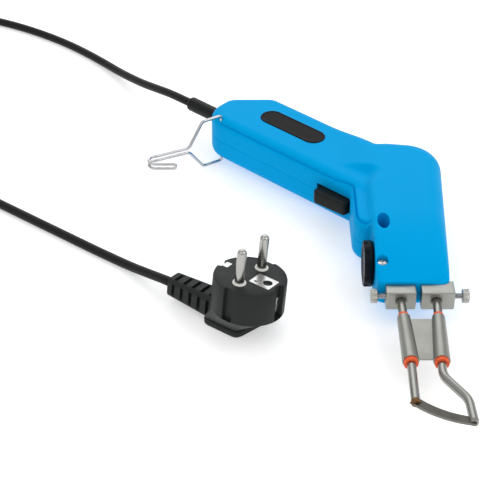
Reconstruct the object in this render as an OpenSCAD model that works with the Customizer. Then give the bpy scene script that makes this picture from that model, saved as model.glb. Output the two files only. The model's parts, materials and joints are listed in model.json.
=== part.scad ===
// Electric hot knife. A pistol shaped housing in two halves holds a transformer that heats a bent blade.
// It lies on the flat far side of its head. X runs across the head, Y from the blade to the crown, Z is up.
// The origin is on that flat, below the line between the two blade legs.

/* [Head] */
// Thickness of the head
head_t = 36; // [35:0.5:40]
// Reach of the finger side from the blade line
head_front = 20.5; // [20:0.25:22]
// Reach of the back from the blade line, at the crown
head_back = 21.5; // [20:0.1:22]
// Reach of the back from the blade line, at the nose
nose_back = 16.1; // [15:0.1:17]
// Distance from the origin to the top of the crown
crown_y = 60.4; // [58:0.2:62]
// Radius of the crown
crown_r = 20; // [17:0.5:21]
// Distance from the origin to the top of the shoulder, where the handle's back runs into the head
shoulder_y = 63.5; // [62:0.5:65]
// Radius of the shoulder
shoulder_r = 12.5; // [12.5:0.25:15]
// Distance from the origin to the end of the nose
nose_y = 54; // [52:0.5:57]
// Thickness of the nose at its end
nose_t = 14; // [13:0.5:17]
// Distance from the origin to the start of the nose slope
slope_y = 26; // [22:0.5:29]
// Rounding of the head's edges
head_round = 9.5; // [9:0.25:12]
// Wall of the housing
wall = 2.5; // [2:0.1:2.8]

/* [Handle] */
// Thickness of the handle
handle_t = 28; // [26:0.5:32]
// Depth of the handle, from its back to its finger side
handle_depth = 41.5; // [40:0.5:46]
// Length of the handle, from the bend to its tail
handle_len = 131; // [126:1:140]
// Tilt of the handle, in degrees
handle_tilt = 42; // [40:0.5:44]
// Distance from the origin to the bend, where the handle's middle line crosses the blade line
bend_y = 23; // [22:0.25:24]
// Rounding of the handle's edges
handle_round = 6; // [4:0.25:8]
// Radius of the tail on the finger side
tail_r = 14; // [11:0.5:15]
// Radius of the two corners of the tail's bevel
bevel_r = 10; // [8.5:0.5:11]
// Length of the tail's bevel along the handle
bevel_run = 24; // [20:1:28]

/* [Finger guard] */
// Reach of the guard from the blade line
guard_front = 29.5; // [28.5:0.25:31]
// Distance from the origin down to the guard's lower end
guard_low = 14; // [12:0.5:15]
// Thickness of the guard
guard_t = 26; // [24:0.5:28]
// Radius of the guard's lower corner
guard_r = 10; // [8:0.5:11]

/* [Screws] */
// Radius of a housing screw's head
screw_head_r = 2.9; // [2.5:0.1:3.1]
// Radius of a housing screw's thread
screw_r = 1.45; // [1.2:0.05:1.7]
// Length of a housing screw under its head
screw_len = 13; // [11:0.5:14]

/* [Nameplate] */
// Length of the oval nameplate
plate_l = 44; // [40:1:50]
// Width of the oval nameplate
plate_w = 13.5; // [11:0.5:16]
// Thickness of the nameplate
plate_t = 0.9; // [0.6:0.1:1.2]

/* [Trigger and switch] */
// Width of the trigger
trigger_w = 7.6; // [6.5:0.1:8.5]
// Length of the trigger behind its pin
trigger_back = 25.5; // [23:0.25:26]
// Drop of the trigger's rear end below its pin
trigger_drop = 13.2; // [12:0.2:14.5]
// Distance of the trigger pin behind the bend
pivot_back = 16; // [15.5:0.1:17]
// Height of the trigger pin above the handle's finger side
pivot_up = 5.75; // [5.5:0.05:6.5]
// Radius of the trigger pin
pivot_r = 1.5; // [1.2:0.05:1.8]
// Length of the switch
switch_l = 20; // [18:0.5:21]
// Height of the switch
switch_h = 12; // [10:0.5:14]
// Width of the switch
switch_w = 10; // [9:0.25:12]
// Radius of the switch plunger
plunger_r = 1.6; // [1.3:0.05:1.8]
// Room between the trigger and the switch
switch_room = 7; // [6:0.25:8]

/* [Heat dial] */
// Radius of the dial
dial_r = 12; // [10:0.25:13]
// Thickness of the dial
dial_t = 4.8; // [4.2:0.1:6]
// Distance from the origin down to the dial's middle
dial_y = 30; // [29:0.25:31]
// Radius of the regulator's shaft
shaft_r = 3; // [2:0.1:3.2]
// Radius of the regulator's body
regulator_r = 6.5; // [6:0.1:7]
// Length of the regulator's body
regulator_l = 6; // [4:0.1:6.2]

/* [Transformer] */
// Width of the core
core_w = 28; // [27:0.25:28.5]
// Length of the core
core_l = 42; // [38:0.5:43]
// Thickness of the core stack
core_t = 18; // [16:0.25:19]
// Distance from the origin to the core's middle
core_y = 13; // [12.5:0.25:14]
// Width of the core's middle limb
limb_w = 9; // [8:0.25:9.5]
// Width of the core's outer limbs and yokes
yoke_w = 4.5; // [4:0.1:4.8]
// Thickness of the secondary strap
strap_t = 1.3; // [1:0.05:1.4]
// Height of the strap where it goes round the winding
strap_w = 10; // [8:0.5:14]

/* [Terminals] */
// Distance between the two blade legs at the blocks
terminal_pitch = 17.6; // [17:0.1:18.2]
// Width of a terminal block
block_w = 15; // [13.5:0.25:15.5]
// Thickness of a terminal block
block_t = 10.6; // [9.5:0.1:11]
// Length of a terminal block outside the nose
block_out = 7; // [6.5:0.25:9]
// Radius of a clamp stud
stud_r = 1.5; // [1.2:0.05:1.8]
// Radius of a clamp knob
knob_r = 3.6; // [3.2:0.1:4.2]
// Thickness of a clamp knob
knob_t = 3.6; // [3:0.1:5]
// Length of bare stud between block and knob
stud_bare = 4; // [4:0.1:6]

/* [Blade] */
// Radius of the blade legs
leg_r = 2.2; // [1.8:0.05:2.4]
// Depth of a leg in its block
leg_in = 8.2; // [6:0.1:8.5]
// Length of the insulating sleeves
sleeve_l = 36; // [30:0.5:38]
// Wall of the insulating sleeves
sleeve_wall = 0.9; // [0.6:0.05:1]
// Distance from the nose down to the sleeves
sleeve_drop = 17.5; // [16:0.25:20]
// Distance from the nose down to the left leg's foot
left_foot_drop = 80; // [76:0.5:84]
// Distance from the nose down to the right leg's foot
right_foot_drop = 93; // [90:0.5:97]
// Distance of the right leg's foot from the blade line
right_foot_x = 16.6; // [15:0.1:19]
// Width of the blade
blade_w = 5.3; // [4:0.1:7]
// Thickness of the blade
blade_t = 0.8; // [0.5:0.05:1.2]
// Bow of the blade between the legs
blade_bow = 2.6; // [1.5:0.1:4]

/* [Hook] */
// Radius of the hook's wire
wire_r = 0.9; // [0.7:0.05:1.1]
// Reach of the hook from its pivot
hook_reach = 37; // [34:0.5:42]
// Radius of the hook's bend
hook_bend_r = 4; // [3.5:0.1:5]
// Half the distance between the two wires of the shank
shank_half = 1.45; // [1.2:0.05:1.8]

/* [Cord] */
// Radius of the mains cord
cord_r = 2.5; // [2.5:0.05:2.6]
// Radius of the cord boot
boot_r = 4.2; // [3.6:0.1:4.8]
// Length of the cord boot outside the tail
boot_l = 27; // [27:1:28]
// Radius of the lead wires
lead_r = 0.9; // [0.7:0.05:1]

/* [Plug] */
// Radius of the plug's face
face_r = 18.5; // [17.5:0.25:20]
// Height of the plug's face above its foot
face_z = 34; // [33:0.5:36]
// Radius of the plug pins
pin_r = 2.4; // [2.2:0.05:2.5]
// Length of the plug pins
pin_l = 19; // [18:0.5:20]
// Distance between the plug pins
pin_pitch = 19; // [18:0.5:20]
// Length of the plug's ribbed strain relief
relief_l = 31; // [31:1:32]

/* [Hidden] */
$fn = 48;

// Overrun of cuts, running fit on a radius, and gap between pieces that don't touch
over = 1;
fit = 0.05;
gap = 0.3;
// Straight steps of an outline's corner arc and of a rounded edge
arc_steps = 5;
edge_steps = 4;

// Housing
half_head = head_t/2;
half_handle = handle_t/2;
half_depth = handle_depth/2;
low_r = head_round + over;
root_r = handle_round + 2*over;
root_back = 4;
bevel_shift = 2;
guard_round = 5;
guard_high = 30;
guard_in = 10;
nose_round = 3;
nose_corner = 4;
nose_wall = 3;
slope_shares = [0.5, 1.5];
rib_t = 1.5;
boss_r = 3.5;

// Housing screws: seat above the joint, and the screws' places with the side that each goes in from
screw_seat = 6;
screw_head_t = 2.2;
pillar_wall = 1;
head_screw = [5.5, 16];
nose_screw = [3.3, 12];
crown_screw = [13, 14];
tail_screw = [31, 8.5];
grip_screw = [76, 8.5];

// Trigger, seen from its pin: the neck's reach, the front's drop, and the top above the pin
trigger_neck = 3.5;
trigger_front_drop = 12;
trigger_rise = 2;
hub_r = 3.6;
slot_room = 2.5;
plunger_back_share = 0.7;
spring_back_share = 0.87;
plunger_in = 9;
lash = gap;
spring_r = 1.6;
spring_wire_r = 0.35;
spring_turns = 3;
pivot = [-pivot_back, -half_depth + pivot_up];
slot_back = trigger_back + slot_room;
switch_low = pivot.y + trigger_rise + switch_room;
switch_x = pivot.x - trigger_back*plunger_back_share;

// Heat dial and regulator
dial_gap = 0.4;
dial_socket = 3.4;
flutes = 20;
flute_r = 0.8;
bushing_wall = 0.7;
shaft_in = 4.5;

// Transformer
window_w = (core_w - limb_w - 2*yoke_w)/2;
window_l = core_l - 2*yoke_w;
core_low = core_y - core_l/2;
former_wall = 0.6;
former_flange = 1;
winding_z = 3;
ring_x = limb_w/2 + window_w - strap_t - gap;
ring_z = core_t/2 + former_wall + winding_z + 2*gap;
ring_low = core_low + yoke_w + former_flange + gap;
ring_split = 3;
lead_w = 4;
riser_drop = 15;
riser_y = core_low - riser_drop;

// Terminals
block_l = block_out + nose_wall;
terminal_x = terminal_pitch/2;
block_top = -nose_y + nose_wall;
block_low = -nose_y - block_out;
stem_w = 5;
stem_t = 4;
carrier_w = 24.4;
carrier_l = 6;
carrier_t = 10;
carrier_x = -0.5;
stud_drop = 2.5;
stud_y = -nose_y - stud_drop;
stud_tip = terminal_x + leg_r + fit;
knob_x = terminal_x + block_w/2 + stud_bare;
right_extra = 0.115*block_w;
function block_extra(side) = side > 0 ? right_extra : 0;
knurls = 16;
knurl_r = 0.4;

// Blade legs: the straight length below a block, the waist at the sleeves' lower end, and the knee
leg_straight = 5;
left_waist_x = 8.15;
right_waist_x = 5.9;
right_straight = 3.6;
left_foot_x = 8.6;
knee_drop = 77.5;
knee_x = 16;
waist_drop = sleeve_drop + sleeve_l + leg_r;
foot_in = 1.5;
link_wall = 0.6;
link_t = 0.8;
link_inset = 2;
web_inset = 1.5;
knuckle_share = 1.02;
left_leg = [[-terminal_x, block_low + leg_in], [-terminal_x, block_low - leg_straight],
    [-left_waist_x, -nose_y - waist_drop], [-left_foot_x, -nose_y - left_foot_drop]];
right_leg = [[terminal_x, block_low + leg_in], [terminal_x, block_low - leg_straight],
    [right_waist_x, -nose_y - waist_drop - leg_r - right_straight], [knee_x, -nose_y - knee_drop],
    [right_foot_x, -nose_y - right_foot_drop]];

// Hook: its pivot from the tail, the heights of its wires, and its corners as shares of its reach
hook_tail_in = 13;
hook_up = 2.7;
hook_pivot = [-handle_len + hook_tail_in, -half_depth + hook_up];
hook_in = 8;
hook_out = half_handle + wire_r + gap;
hook_boss_r = 2.8;
hook_shares = [[-0.29, -0.17], [-0.5, -0.35], [-1, -0.58]];
tip_share = 0.31;

// Cord boot, clamp and inner end
boot_n = -2;
flange_r = 6;
flange_t = 3;
flange_in = 5;
boot_block = [10, 15];
boot_taper_l = 3;
boot_taper_share = 0.8;
boot_end = -handle_len - boot_l;
entry_in = 35;
clamp_in = 24;
entry_end = -handle_len + entry_in;
clamp_x = -handle_len + clamp_in;
clamp_l = 8;
clamp_w = 21;
clamp_t = 5;
clamp_screw_n = 7;
clamp_screw_r = 1.2;
clamp_head_r = 2.2;
clamp_head_t = 1.8;
clamp_screw_in = 9;

// Plug, seen from its middle with the cord along X
plug_place = [-86.6, -63.6];
plug_turn = 144;
plug_tilt = 8;
base_x = 11;
base_y = -7.2;
base_l = 22;
base_w = 28.4;
base_slant = 7.5;
base_t = 4;
base_r = 3;
face_t = 18;
face_step = 0.5;
notch_w = 6;
notch_in = 3;
guide_w = 5;
guide_in = 2;
relief_z = 9;
relief_r = 7;
relief_tip_r = 5.4;
relief_in = 6.5;
relief_ribs = 5;
relief_groove = 1.1;
pin_in = 12;
pin_tip = 1.6;
pin_tip_share = 0.6;
pin_neck_r = 2;
collar_r = 3.4;
collar_t = 1;
clip_w = 5;
clip_t = 0.8;
clip_l = 17;
contact_l = 9.6;
contact_w = 12;
contact_t = 0.8;
contact_x = -8.2;
contact_hole_x = -10.4;
far_clip_drop = 6;

// Route of the cord from the boot to the coil, and from the coil to the plug
cord_points = [[-132, 141, 16.5], [-141, 152, 13.5], [-150, 164, 10], [-158.5, 176, 7], [-167, 188, 4.5],
    [-177, 201, 3], [-188, 213, 2.5], [-201, 225, 2.5], [-215, 236, 2.5], [-230, 246, 2.5], [-246, 255, 2.5],
    [-262, 262, 2.5], [-278, 266.5, 2.5], [-292, 266, 2.5], [-304, 260, 2.5], [-312, 249, 2.5],
    [-316, 236, 2.5], [-317, 222, 2.5], [-317, 208, 2.5], [-317, 194, 2.5], [-317, 180, 2.5], [-317, 166, 2.5],
    [-317, 152, 2.5]];
tail_points = [[-291.5, 96.5, 8.6], [-283.5, 90, 7.6], [-273, 82, 5.2], [-262, 73.5, 3.2], [-250, 64, 2.5],
    [-236, 53.5, 2.5], [-221, 42, 2.5], [-203, 28.5, 2.5], [-185, 15, 2.5], [-167, 1.5, 2.5], [-149, -12, 3],
    [-138.5, -22, 5.8]];
// Coil of the rest of the cord: its middle, outer radius, pitches, and where the cord comes and goes
coil_middle = [-281, 134];
coil_r = 36;
coil_pitch = 6.1;
coil_rise = 6.1;
coil_turn_in = 180;
coil_turn_out = 232;
coil_rounds = 6;
coil_steps = 24;
coil_sides = 6;
cord_sides = 8;
// Leads: their places between the cord's inner end and the switch, as shares of the way along, across and up
live_shares = [0.25, 0.5, 0.75];
neutral_shares = [[0.26, 0.11, -0.32], [0.49, 0.31, 0.21], [0.7, 0.62, 0.79], [0.9, 0.86, 0.89], [1.12, 1, 1]];
// Neutral lead over the core: shares of the middle limb's width, of a yoke's width, and of the winding's height
over_core_shares = [[-0.8, 1.5, 0.78], [-0.45, 0, 0.91], [-0.4, -1.3, 1], [-0.4, -3, 1]];
// Switched lead over the core: shares of the way from the core's top to its end
down_core_shares = [-0.03, 0.35, 0.7, 1];
lead_rise_share = 0.7;
// Switched lead below the core, from its left lower corner: shares of the riser's drop, and heights as shares
below_core_shares = [[0.33, -0.43, 0.83], [0.31, -0.63, 0.75], [0.21, -0.87, 0.62], [0.2, -1.07, 0.52]];

// Outlines as corner circles of x, y and radius, turning left. The handle's and the hook's are in its own frame
head_corners = [
    [nose_back - low_r, -nose_y + low_r, low_r],
    [head_back - crown_r, crown_y - crown_r, crown_r],
    [-head_front + shoulder_r, shoulder_y - shoulder_r, shoulder_r],
    [-head_front + low_r, -nose_y + low_r, low_r]];
handle_corners = [
    [-handle_len + tail_r, -half_depth + tail_r, tail_r],
    [-root_back, -half_depth + root_r, root_r],
    [-root_back, half_depth - root_r, root_r],
    [-handle_len + bevel_run, half_depth - bevel_r, bevel_r],
    [-handle_len + bevel_r, -bevel_shift, bevel_r]];
guard_corners = [
    [-guard_front + guard_r, -guard_low + guard_r, guard_r],
    [-guard_in, -guard_low + guard_r, guard_r],
    [-guard_in, guard_high - root_r, root_r],
    [-guard_front + root_r, guard_high - root_r, root_r]];
nose_corners = [
    [-head_front + nose_corner, -nose_y + nose_corner, nose_corner],
    [nose_back - nose_corner, -nose_y + nose_corner, nose_corner],
    [nose_back - nose_corner, -slope_y, nose_corner],
    [-head_front + nose_corner, -slope_y, nose_corner]];

// Place in the plan of a point given along and across the handle
function from_handle(p) = [
    p.x*cos(handle_tilt) + p.y*sin(handle_tilt),
    bend_y - p.x*sin(handle_tilt) + p.y*cos(handle_tilt)];

// Direction square to the side between two corner circles
function side_angle(p, q) =
    let (d = [q.x - p.x, q.y - p.y])
    atan2(d.y, d.x) - acos((p.z - q.z)/norm(d));

// Points of an outline drawn in by an inset
function outline(corners, inset) =
    let (n = len(corners))
    [for (i = [0:n - 1])
        let (c = corners[i],
            start = side_angle(corners[(i + n - 1)%n], c),
            sweep = (side_angle(c, corners[(i + 1)%n]) - start + 720)%360)
        for (k = [0:arc_steps])
            let (a = start + sweep*k/arc_steps)
            [c.x + (c.z - inset)*cos(a), c.y + (c.z - inset)*sin(a)]];

function thinned(corners, by) = [for (c = corners) [c.x, c.y, c.z - by]];

// Unit vector, and the direction of a route at one of its points
function unit(v) = v/norm(v);
function heading(route, i) = unit(route[min(i + 1, len(route) - 1)] - route[max(i - 1, 0)]);

// Turns of the coil: in at a steady rate, up a layer in the half turn in the middle, and out again
coil_sweep = 360*coil_rounds + coil_turn_out - coil_turn_in;
coil_inward = (coil_sweep - 180)/2;
function coil_drawn(turned) =
    coil_pitch*(turned < coil_inward ? turned : turned > coil_inward + 180 ? coil_sweep - turned : coil_inward)/360;
function coil_lift(turned) = coil_rise*min(max((turned - coil_inward)/180, 0), 1);
function coil_point(turned) =
    let (r = coil_r - coil_drawn(turned), a = coil_turn_in + turned)
    [coil_middle.x + r*cos(a), coil_middle.y + r*sin(a), cord_r + coil_lift(turned)];
function tangent(a) = [-sin(a), cos(a), 0];
coil_stations = ceil(coil_sweep*coil_steps/360);
coil_turns = [for (k = [0:coil_stations]) coil_point(coil_sweep*k/coil_stations)];
coil_start = coil_point(0) - 2*cord_r*tangent(coil_turn_in);
coil_stop = coil_point(coil_sweep) + 2*cord_r*tangent(coil_turn_out);
coil_route = concat([coil_start], coil_turns, [coil_stop]);
coil_gap = min([for (i = [0:len(coil_turns) - 1], j = [i + coil_steps/2:1:len(coil_turns) - 1])
    norm(coil_turns[i] - coil_turns[j])]) - 2*cord_r;
echo(coil_gap = coil_gap);

// Whole routes of the cord's two free stretches
boot_place = from_handle([boot_end, boot_n]);
boot_out = [-cos(handle_tilt), sin(handle_tilt), 0];
boot_exit = [boot_place.x, boot_place.y, half_head];
cord_route = concat([boot_exit, boot_exit + 2*cord_r*boot_out], cord_points, [coil_start]);
plug_out = [cos(plug_turn), sin(plug_turn), 0];
relief_end = base_x + base_l/2 - relief_in + relief_l;
plug_side = [-sin(plug_turn), cos(plug_turn), 0];
plug_exit = [plug_place.x, plug_place.y, relief_z*cos(plug_tilt)] + relief_end*plug_out
    - relief_z*sin(plug_tilt)*plug_side;
tail_route = concat([coil_stop], tail_points, [plug_exit + 2*cord_r*plug_out, plug_exit]);

// Curls of the trigger spring, as a route, and its least gap to itself
spring_x = pivot.x - trigger_back*spring_back_share;
spring_low = pivot.y + trigger_rise + spring_wire_r;
spring_high = switch_low - spring_wire_r;
curl_steps = 8;
spring_route = [for (k = [0:spring_turns*curl_steps])
    let (a = 360*k/curl_steps)
    [spring_x + spring_r*cos(a), spring_low + (spring_high - spring_low)*k/(spring_turns*curl_steps), spring_r*sin(a)]];
echo(spring_gap = (spring_high - spring_low)/spring_turns - 2*spring_wire_r);

// Moves a piece that is drawn from the joint between the halves up to its place
module lifted() { translate([0, 0, half_head]) children(); }

// Turns a piece that is drawn along and across the handle to its place
module in_handle() { translate([0, bend_y, 0]) rotate([0, 0, -handle_tilt]) children(); }

// Runs a profile of Y and Z along X, both ways
module along_x(w) { rotate([90, 0, 90]) linear_extrude(w, center = true) children(); }

// Half of a rounded slab, from a low level up to its flat top
module slab(corners, half, edge, low) {
    arcs = [for (k = [0:edge_steps])
        let (a = 90*k/edge_steps)
        [edge*(1 - cos(a)), half - edge + edge*sin(a)]];
    loops = [for (row = concat([[0, low]], arcs)) [for (p = outline(corners, row[0])) [p.x, p.y, row[1]]]];
    n = len(loops[0]);
    last = len(loops) - 1;
    polyhedron(
        points = [for (loop = loops) each loop],
        faces = concat(
            [[for (i = [0:n - 1]) i]],
            [for (j = [0:last - 1], i = [0:n - 1])
                [j*n + i, (j + 1)*n + i, (j + 1)*n + (i + 1)%n, j*n + (i + 1)%n]],
            [[for (i = [n - 1:-1:0]) last*n + i]]));
}

// Round tube along a route, with a ring of corners at each of its points
module tube(route, r, sides, up) {
    n = len(route);
    rings = [for (i = [0:n - 1])
        let (t = heading(route, i), across = unit(cross(up, t)), over_top = cross(t, across))
        [for (k = [0:sides - 1])
            let (a = 360*k/sides)
            route[i] + r*(cos(a)*over_top + sin(a)*across)]];
    polyhedron(
        points = [for (ring = rings) each ring],
        faces = concat(
            [[for (k = [sides - 1:-1:0]) k]],
            [for (i = [0:n - 2], k = [0:sides - 1]) [i*sides + k, i*sides + (k + 1)%sides, (i + 1)*sides + (k + 1)%sides]],
            [for (i = [0:n - 2], k = [0:sides - 1]) [i*sides + k, (i + 1)*sides + (k + 1)%sides, (i + 1)*sides + k]],
            [[for (k = [0:sides - 1]) (n - 1)*sides + k]]));
}

// Straight round rod between two points
module rod(p, q, r) {
    d = q - p;
    translate(p) rotate([0, acos(d.z/norm(d)), atan2(d.y, d.x)]) cylinder(r = r, h = norm(d));
}

// Rod with round knuckles at its inner corners
module bent_rod(points, r) {
    for (i = [0:len(points) - 2]) rod(points[i], points[i + 1], r);
    for (i = [1:1:len(points) - 2]) translate(points[i]) sphere(r = r*knuckle_share);
}

function flat(points, z = 0) = [for (p = points) [p.x, p.y, z]];

// Housing

// Everything above the slope of the nose, or above the slope moved in by a depth
module nose_slope(depth) {
    run = nose_y - slope_y;
    drop = half_head - nose_t/2;
    sink = depth*norm([run, drop])/run;
    along_x(4*head_t)
        translate([-slope_y, half_head - sink])
            polygon([
                [slope_shares[0]*run, slope_shares[0]*drop],
                [-slope_shares[1]*run, slope_shares[0]*drop],
                [-slope_shares[1]*run, -slope_shares[1]*drop]]);
}

// Housing half as a solid, drawn in by the wall for its hollow
module housing_form(inset, low) {
    difference() {
        union() {
            slab(thinned(head_corners, inset), half_head - inset, head_round - inset, low);
            in_handle() slab(thinned(handle_corners, inset), half_handle - inset, handle_round - inset, low);
            slab(thinned(guard_corners, inset), guard_t/2 - inset, guard_round - inset, low);
            slab(thinned(nose_corners, inset), nose_t/2 + nose_round - inset, nose_round - inset, low);
        }
        nose_slope(inset);
    }
}

// Places of the housing screws: 1 goes in from the near side, -1 from the far side
screw_spots = [
    [-head_front + head_screw.x, -head_screw.y, 1],
    [-head_front + nose_screw.x, -nose_y + nose_screw.y, 1],
    [head_back - crown_screw.x, crown_y - crown_screw.y, -1],
    concat(from_handle([-handle_len + tail_screw.x, half_depth - tail_screw.y]), [-1]),
    concat(from_handle([-handle_len + grip_screw.x, half_depth - grip_screw.y]), [-1])];
pillar_r = screw_head_r + gap + pillar_wall;

// Posts, ribs and thick places that stay inside a housing half
module inner_posts(side) {
    for (s = screw_spots) translate([s.x, s.y, -over]) cylinder(r = pillar_r, h = head_t);
    for (x = [-1, 1]) translate([x*(core_w - rib_t)/2 - rib_t/2, core_low, core_t/2]) cube([rib_t, core_l, head_t]);
    translate([-head_t, -nose_y - over, -over]) cube([2*head_t, nose_wall + over, head_t]);
    in_handle() {
        translate([pivot.x, pivot.y, trigger_w/2 + gap]) cylinder(r = boss_r, h = head_t);
        translate([switch_x - boss_r, switch_low, switch_w/2]) cube([2*boss_r, switch_h, head_t]);
        translate([hook_pivot.x, hook_pivot.y, hook_in - over]) cylinder(r = hook_boss_r, h = head_t);
        translate([-handle_len, boot_n - boot_block.y/2, -over]) cube([boot_block.x, boot_block.y, head_t]);
        if (side < 0) translate([clamp_x - clamp_l/2, boot_n - clamp_w/2, gap]) cube([clamp_l, clamp_w, head_t]);
    }
}

// Holes and cut outs of a housing half
module housing_cuts(side) {
    for (s = screw_spots) translate([s.x, s.y, -over])
        if (s.z == side) {
            cylinder(r = screw_r + gap, h = head_t);
            translate([0, 0, screw_seat + over]) cylinder(r = screw_head_r + gap, h = head_t);
        } else
            cylinder(r = screw_r + fit, h = screw_len - screw_seat + 2*over);
    for (x = [-1, 1]) translate([x*terminal_x - block_w/2 - fit, block_top - block_l, -over])
        cube([block_w + block_extra(x) + 2*fit, block_l + over, block_t/2 + fit + over]);
    translate([-head_front + wall + over, -dial_y, 0]) rotate([0, -90, 0])
        cylinder(r = shaft_r + bushing_wall + 2*fit, h = wall + 2*over);
    in_handle() {
        translate([pivot.x - slot_back, -half_depth - pivot_up, -over])
            cube([slot_back - trigger_neck + over, 2*pivot_up + hub_r, trigger_w/2 + gap + over]);
        translate([pivot.x, pivot.y, -over]) cylinder(r = hub_r + gap, h = trigger_w/2 + gap + over);
        translate([pivot.x, pivot.y, -over]) cylinder(r = pivot_r + fit, h = half_handle - wall + over);
        translate([hook_pivot.x, hook_pivot.y, hook_in]) cylinder(r = wire_r + fit, h = head_t);
        translate([-handle_len - over, boot_n, 0]) rotate([0, 90, 0]) cylinder(r = boot_r + fit, h = flange_in + 2*over);
        translate([-handle_len + flange_in, boot_n, 0]) rotate([0, 90, 0]) cylinder(r = flange_r + fit, h = flange_t);
        translate([-handle_len + flange_in, boot_n, 0]) rotate([0, 90, 0])
            cylinder(r = cord_r + fit, h = clamp_x + clamp_l + handle_len - flange_in);
        if (side < 0) for (s = [-1, 1]) translate([clamp_x, boot_n + s*clamp_screw_n, -over])
            cylinder(r = clamp_screw_r + fit, h = clamp_screw_in + 2*over);
        if (side > 0) translate([plate_x, plate_n, half_handle - plate_t/2]) plate_prism(plate_t);
    }
}

module housing_half(side) {
    difference() {
        housing_form(0, 0);
        difference() {
            housing_form(wall, -over);
            inner_posts(side);
        }
        housing_cuts(side);
    }
}

module near_shell() { color([0, 0.61, 0.87]) lifted() housing_half(1); }

module far_shell() { color([0, 0.55, 0.82]) lifted() mirror([0, 0, 1]) housing_half(-1); }

// Oval plate, let half its thickness into the handle's side
plate_in = 50;
plate_x = -handle_len + plate_in;
plate_n = 1.7;
plate_points = 40;
module plate_prism(h) {
    linear_extrude(h)
        polygon([for (k = [0:plate_points - 1])
            let (a = 360*k/plate_points)
            [sign(cos(a))*(plate_l - plate_w)/2 + plate_w/2*cos(a), plate_w/2*sin(a)]]);
}

module nameplate() {
    color([0.11, 0.09, 0.11]) lifted() in_handle()
        translate([plate_x, plate_n, half_handle - plate_t/2]) plate_prism(plate_t);
}

module housing_screws() {
    color("silver") lifted() for (s = screw_spots) translate([s.x, s.y, 0]) mirror([0, 0, s.z > 0 ? 0 : 1]) {
        translate([0, 0, screw_seat]) cylinder(r = screw_head_r, h = screw_head_t);
        translate([0, 0, screw_seat - screw_len]) cylinder(r = screw_r, h = screw_len);
    }
}

// Trigger and switch

module trigger() {
    color([0.14, 0.145, 0.15]) lifted() in_handle() translate([pivot.x, pivot.y, -trigger_w/2])
        difference() {
            union() {
                linear_extrude(trigger_w) polygon([
                    [-trigger_back, -trigger_drop], [-trigger_neck, -trigger_front_drop], [-trigger_neck, 0],
                    [0, 0], [0, trigger_rise], [-trigger_back, trigger_rise]]);
                cylinder(r = hub_r, h = trigger_w);
            }
            translate([0, 0, -over]) cylinder(r = pivot_r + fit, h = trigger_w + 2*over);
        }
}

module trigger_pin() {
    color("silver") lifted() in_handle() translate([pivot.x, pivot.y, wall - half_handle])
        cylinder(r = pivot_r, h = handle_t - 2*wall);
}

module trigger_spring() {
    color("gainsboro") lifted() in_handle() tube(spring_route, spring_wire_r, coil_sides, [0, 1, 0]);
}

module switch_body() {
    color([0.2, 0.2, 0.22]) lifted() in_handle() difference() {
        translate([switch_x - switch_l/2, switch_low, -switch_w/2]) cube([switch_l, switch_h, switch_w]);
        translate([switch_x, switch_low - over, 0]) rotate([-90, 0, 0])
            cylinder(r = plunger_r + fit, h = plunger_in + over);
    }
}

module switch_plunger() {
    low = pivot.y + trigger_rise + lash;
    color("white") lifted() in_handle() translate([switch_x, low, 0]) rotate([-90, 0, 0])
        cylinder(r = plunger_r, h = switch_low + plunger_in/2 - low);
}

// Heat dial and regulator, along the X axis away from the head

module heat_dial() {
    color([0.05, 0.06, 0.1]) lifted() translate([-head_front - dial_gap, -dial_y, 0]) rotate([0, -90, 0])
        difference() {
            cylinder(r = dial_r, h = dial_t);
            translate([0, 0, -over]) cylinder(r = shaft_r + fit, h = dial_socket + over);
            for (k = [0:flutes - 1]) rotate([0, 0, 360*k/flutes]) translate([dial_r, 0, -over])
                cylinder(r = flute_r, h = dial_t + 2*over);
        }
}

module regulator_body() {
    color([0.3, 0.3, 0.32]) lifted() translate([-head_front + wall + gap, -dial_y, 0]) rotate([0, 90, 0])
        difference() {
            union() {
                cylinder(r = regulator_r, h = regulator_l);
                translate([0, 0, -wall - gap]) cylinder(r = shaft_r + bushing_wall, h = wall + gap);
            }
            translate([0, 0, -wall - gap - over]) cylinder(r = shaft_r + fit, h = wall + gap + shaft_in + over);
        }
}

module regulator_shaft() {
    reach = wall + gap + shaft_in - fit + dial_gap + dial_socket;
    color("silver") lifted() translate([-head_front - dial_gap - dial_socket, -dial_y, 0]) rotate([0, 90, 0])
        cylinder(r = shaft_r, h = reach);
}

// Transformer

module transformer_core() {
    color([0.35, 0.34, 0.33]) lifted() translate([0, core_y, 0]) difference() {
        cube([core_w, core_l, core_t], center = true);
        for (x = [-1, 1]) translate([x*(limb_w + window_w)/2, 0, 0])
            cube([window_w, window_l, core_t + 2*over], center = true);
    }
}

// Box ring round the core's middle limb
module limb_ring(x, z, in_x, in_z, l) {
    difference() {
        cube([2*x, l, 2*z], center = true);
        cube([2*in_x, l + 2*over, 2*in_z], center = true);
    }
}

module coil_former() {
    in_x = limb_w/2;
    in_z = core_t/2;
    color([0.9, 0.88, 0.8]) lifted() translate([0, core_y, 0]) {
        limb_ring(in_x + former_wall, in_z + former_wall, in_x, in_z, window_l);
        for (y = [-1, 1]) translate([0, y*(window_l - former_flange)/2, 0])
            limb_ring(ring_x - gap, ring_z - gap, in_x, in_z, former_flange);
    }
}

module primary_winding() {
    color([0.72, 0.42, 0.2]) lifted() translate([0, core_y, 0])
        limb_ring(ring_x - gap, ring_z - gap, limb_w/2 + former_wall, core_t/2 + former_wall, window_l - 2*former_flange);
}

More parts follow.
